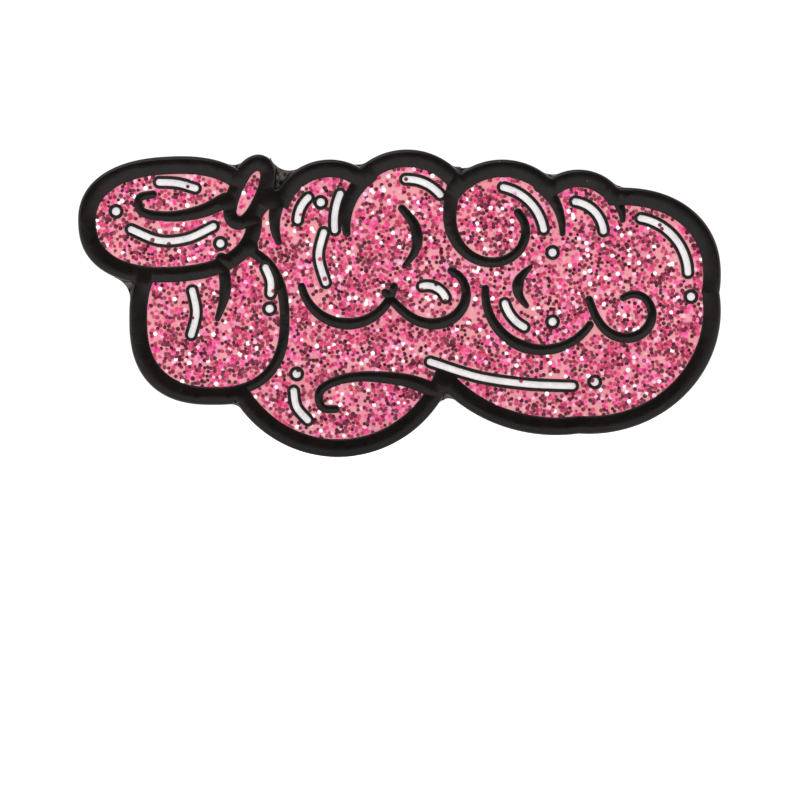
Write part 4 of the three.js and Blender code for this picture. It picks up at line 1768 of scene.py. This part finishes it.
    def wing(self, side: int) -> bpy.types.Object:
        """A finger loop of the spring, bowed a little outwards.

        Args:
            side: 1 on the right, -1 on the left.

        Returns:
            The piece.
        """
        reach = self.wing_inner + self.wire[0] / 2
        straight = self.wing_height - self.wing_inner - self.wire[0]
        leg = np.linspace(0, straight, 20)
        path = [(reach, u) for u in leg]
        for angle in np.radians(np.linspace(0, 180, 25))[1:-1]:
            path.append((reach * math.cos(angle), straight + reach * math.sin(angle)))
        path += [(-reach, u) for u in leg[::-1]]
        flat = np.array(path)
        share = np.clip(flat[:, 1] / self.wing_height, 0, 1) * math.pi
        pinch = 1 - self.wing_pinch * np.sin(share) ** 2
        bow = self.wing_bow * np.sin(share)
        lean = math.radians(self.wing_lean)
        across = self.wing_foot + self.wire[1] / 2 + flat[:, 1] * math.sin(lean) - bow
        up = self.bottom + self.sheet + self.foot_gap + flat[:, 1] * math.cos(lean)
        points = np.column_stack([side * across, up, flat[:, 0] * pinch])
        name = "clutch_loop_right" if side > 0 else "clutch_loop_left"
        return self.wire_along(points, False, (math.cos(lean), -side * math.sin(lean), 0.0), name)


# ---- The studio ---------------------------------------------------------------------------------------


@dataclass(frozen=True)
class Lamp:
    """A soft rectangular lamp that is aimed at the pin."""

    name: str
    place: tuple[float, float, float]
    size: tuple[float, float]
    power: float

    def build(self) -> None:
        """Hangs the lamp. Places are in millimetres and power in watts."""
        data = bpy.data.lights.new(self.name, "AREA")
        data.shape = "RECTANGLE"
        data.size, data.size_y = (s * MM for s in self.size)
        data.energy = self.power
        lamp = bpy.data.objects.new(self.name, data)
        lamp.location = Vector(self.place) * MM
        lamp.rotation_euler = (-lamp.location).to_track_quat("-Z", "Y").to_euler()
        bpy.context.scene.collection.objects.link(lamp)


@dataclass
class Studio:
    """The pale floor, the soft lights and the camera."""

    floor: float = -8.54
    half_width: float = 4000.0
    camera_distance: float = 420.0
    frame_width: float = 40.0
    frame_centre: tuple[float, float] = (1.4, -5.65)
    sensor: float = 36.0
    world_reach: tuple[float, float] = (-1.0, -0.12)
    world_strength: tuple[float, float] = (0.02, 1.1)

    def build(self) -> None:
        """Builds the studio."""
        self.build_floor()
        self.build_world()
        for lamp in (
            Lamp("top_softbox", (-60, -110, 190), (220, 160), 0.28),
            Lamp("left_softbox", (-210, -60, 60), (120, 200), 0.12),
            Lamp("right_softbox", (210, -40, 90), (120, 200), 0.12),
            Lamp("back_softbox", (40, 210, 130), (220, 140), 0.2),
        ):
            lamp.build()
        self.build_camera()
        bpy.context.scene.view_settings.view_transform = "Standard"

    def build_floor(self) -> None:
        """A plain white floor."""
        mesh = bpy.data.meshes.new("studio_floor")
        w, z = self.half_width * MM, self.floor * MM
        mesh.from_pydata([(-w, -w, z), (w, -w, z), (w, w, z), (-w, w, z)], [], [(0, 1, 2, 3)])
        recipe = Recipe(
            "studio_white",
            Base_Color=(0.9, 0.9, 0.9, 1.0),
            Specular_IOR_Level=0.0,
            Emission_Color=(1.0, 1.0, 1.0, 1.0),
            Emission_Strength=0.45,
        )
        recipe.into(Roughness=recipe.spread(recipe.noise(0.02, 2.0), 0.3, 0.7, 0.7, 0.9))
        mesh.materials.append(recipe.material)
        floor = bpy.data.objects.new("studio_floor", mesh)
        bpy.context.scene.collection.objects.link(floor)

    def build_world(self) -> None:
        """Even pale light from all round, dimmer from the side that the pin faces."""
        world = bpy.data.worlds.new("studio_world")
        bpy.context.scene.world = world
        world.use_nodes = True
        tree = world.node_tree
        background = tree.nodes["Background"]
        way = tree.nodes.new("ShaderNodeTexCoord")
        apart = tree.nodes.new("ShaderNodeSeparateXYZ")
        tree.links.new(way.outputs["Generated"], apart.inputs[0])
        ramp = tree.nodes.new("ShaderNodeMapRange")
        for end, reach, strength in zip(("Min", "Max"), self.world_reach, self.world_strength):
            ramp.inputs[f"From {end}"].default_value = reach
            ramp.inputs[f"To {end}"].default_value = strength
        tree.links.new(apart.outputs["Y"], ramp.inputs["Value"])
        tree.links.new(ramp.outputs["Result"], background.inputs["Strength"])
        background.inputs["Color"].default_value = (1, 1, 1, 1)

    def build_camera(self) -> None:
        """A long lens straight in front of the pin."""
        data = bpy.data.cameras.new("camera")
        data.sensor_width = self.sensor
        data.lens = data.sensor_width * self.camera_distance / self.frame_width
        data.clip_start, data.clip_end = 0.01, 5.0
        camera = bpy.data.objects.new("camera", data)
        x, z = self.frame_centre
        camera.location = (x * MM, -self.camera_distance * MM, z * MM)
        camera.rotation_euler = (math.pi / 2, 0, 0)
        bpy.context.scene.collection.objects.link(camera)
        bpy.context.scene.camera = camera


def main() -> None:
    """Builds every piece in order."""
    logging.basicConfig(level=logging.INFO, format="%(name)s: %(message)s")
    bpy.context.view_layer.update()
    PinBody().build()
    Post().build()
    Clutch().build()
    Studio().build()


if __name__ == "__main__":
    main()
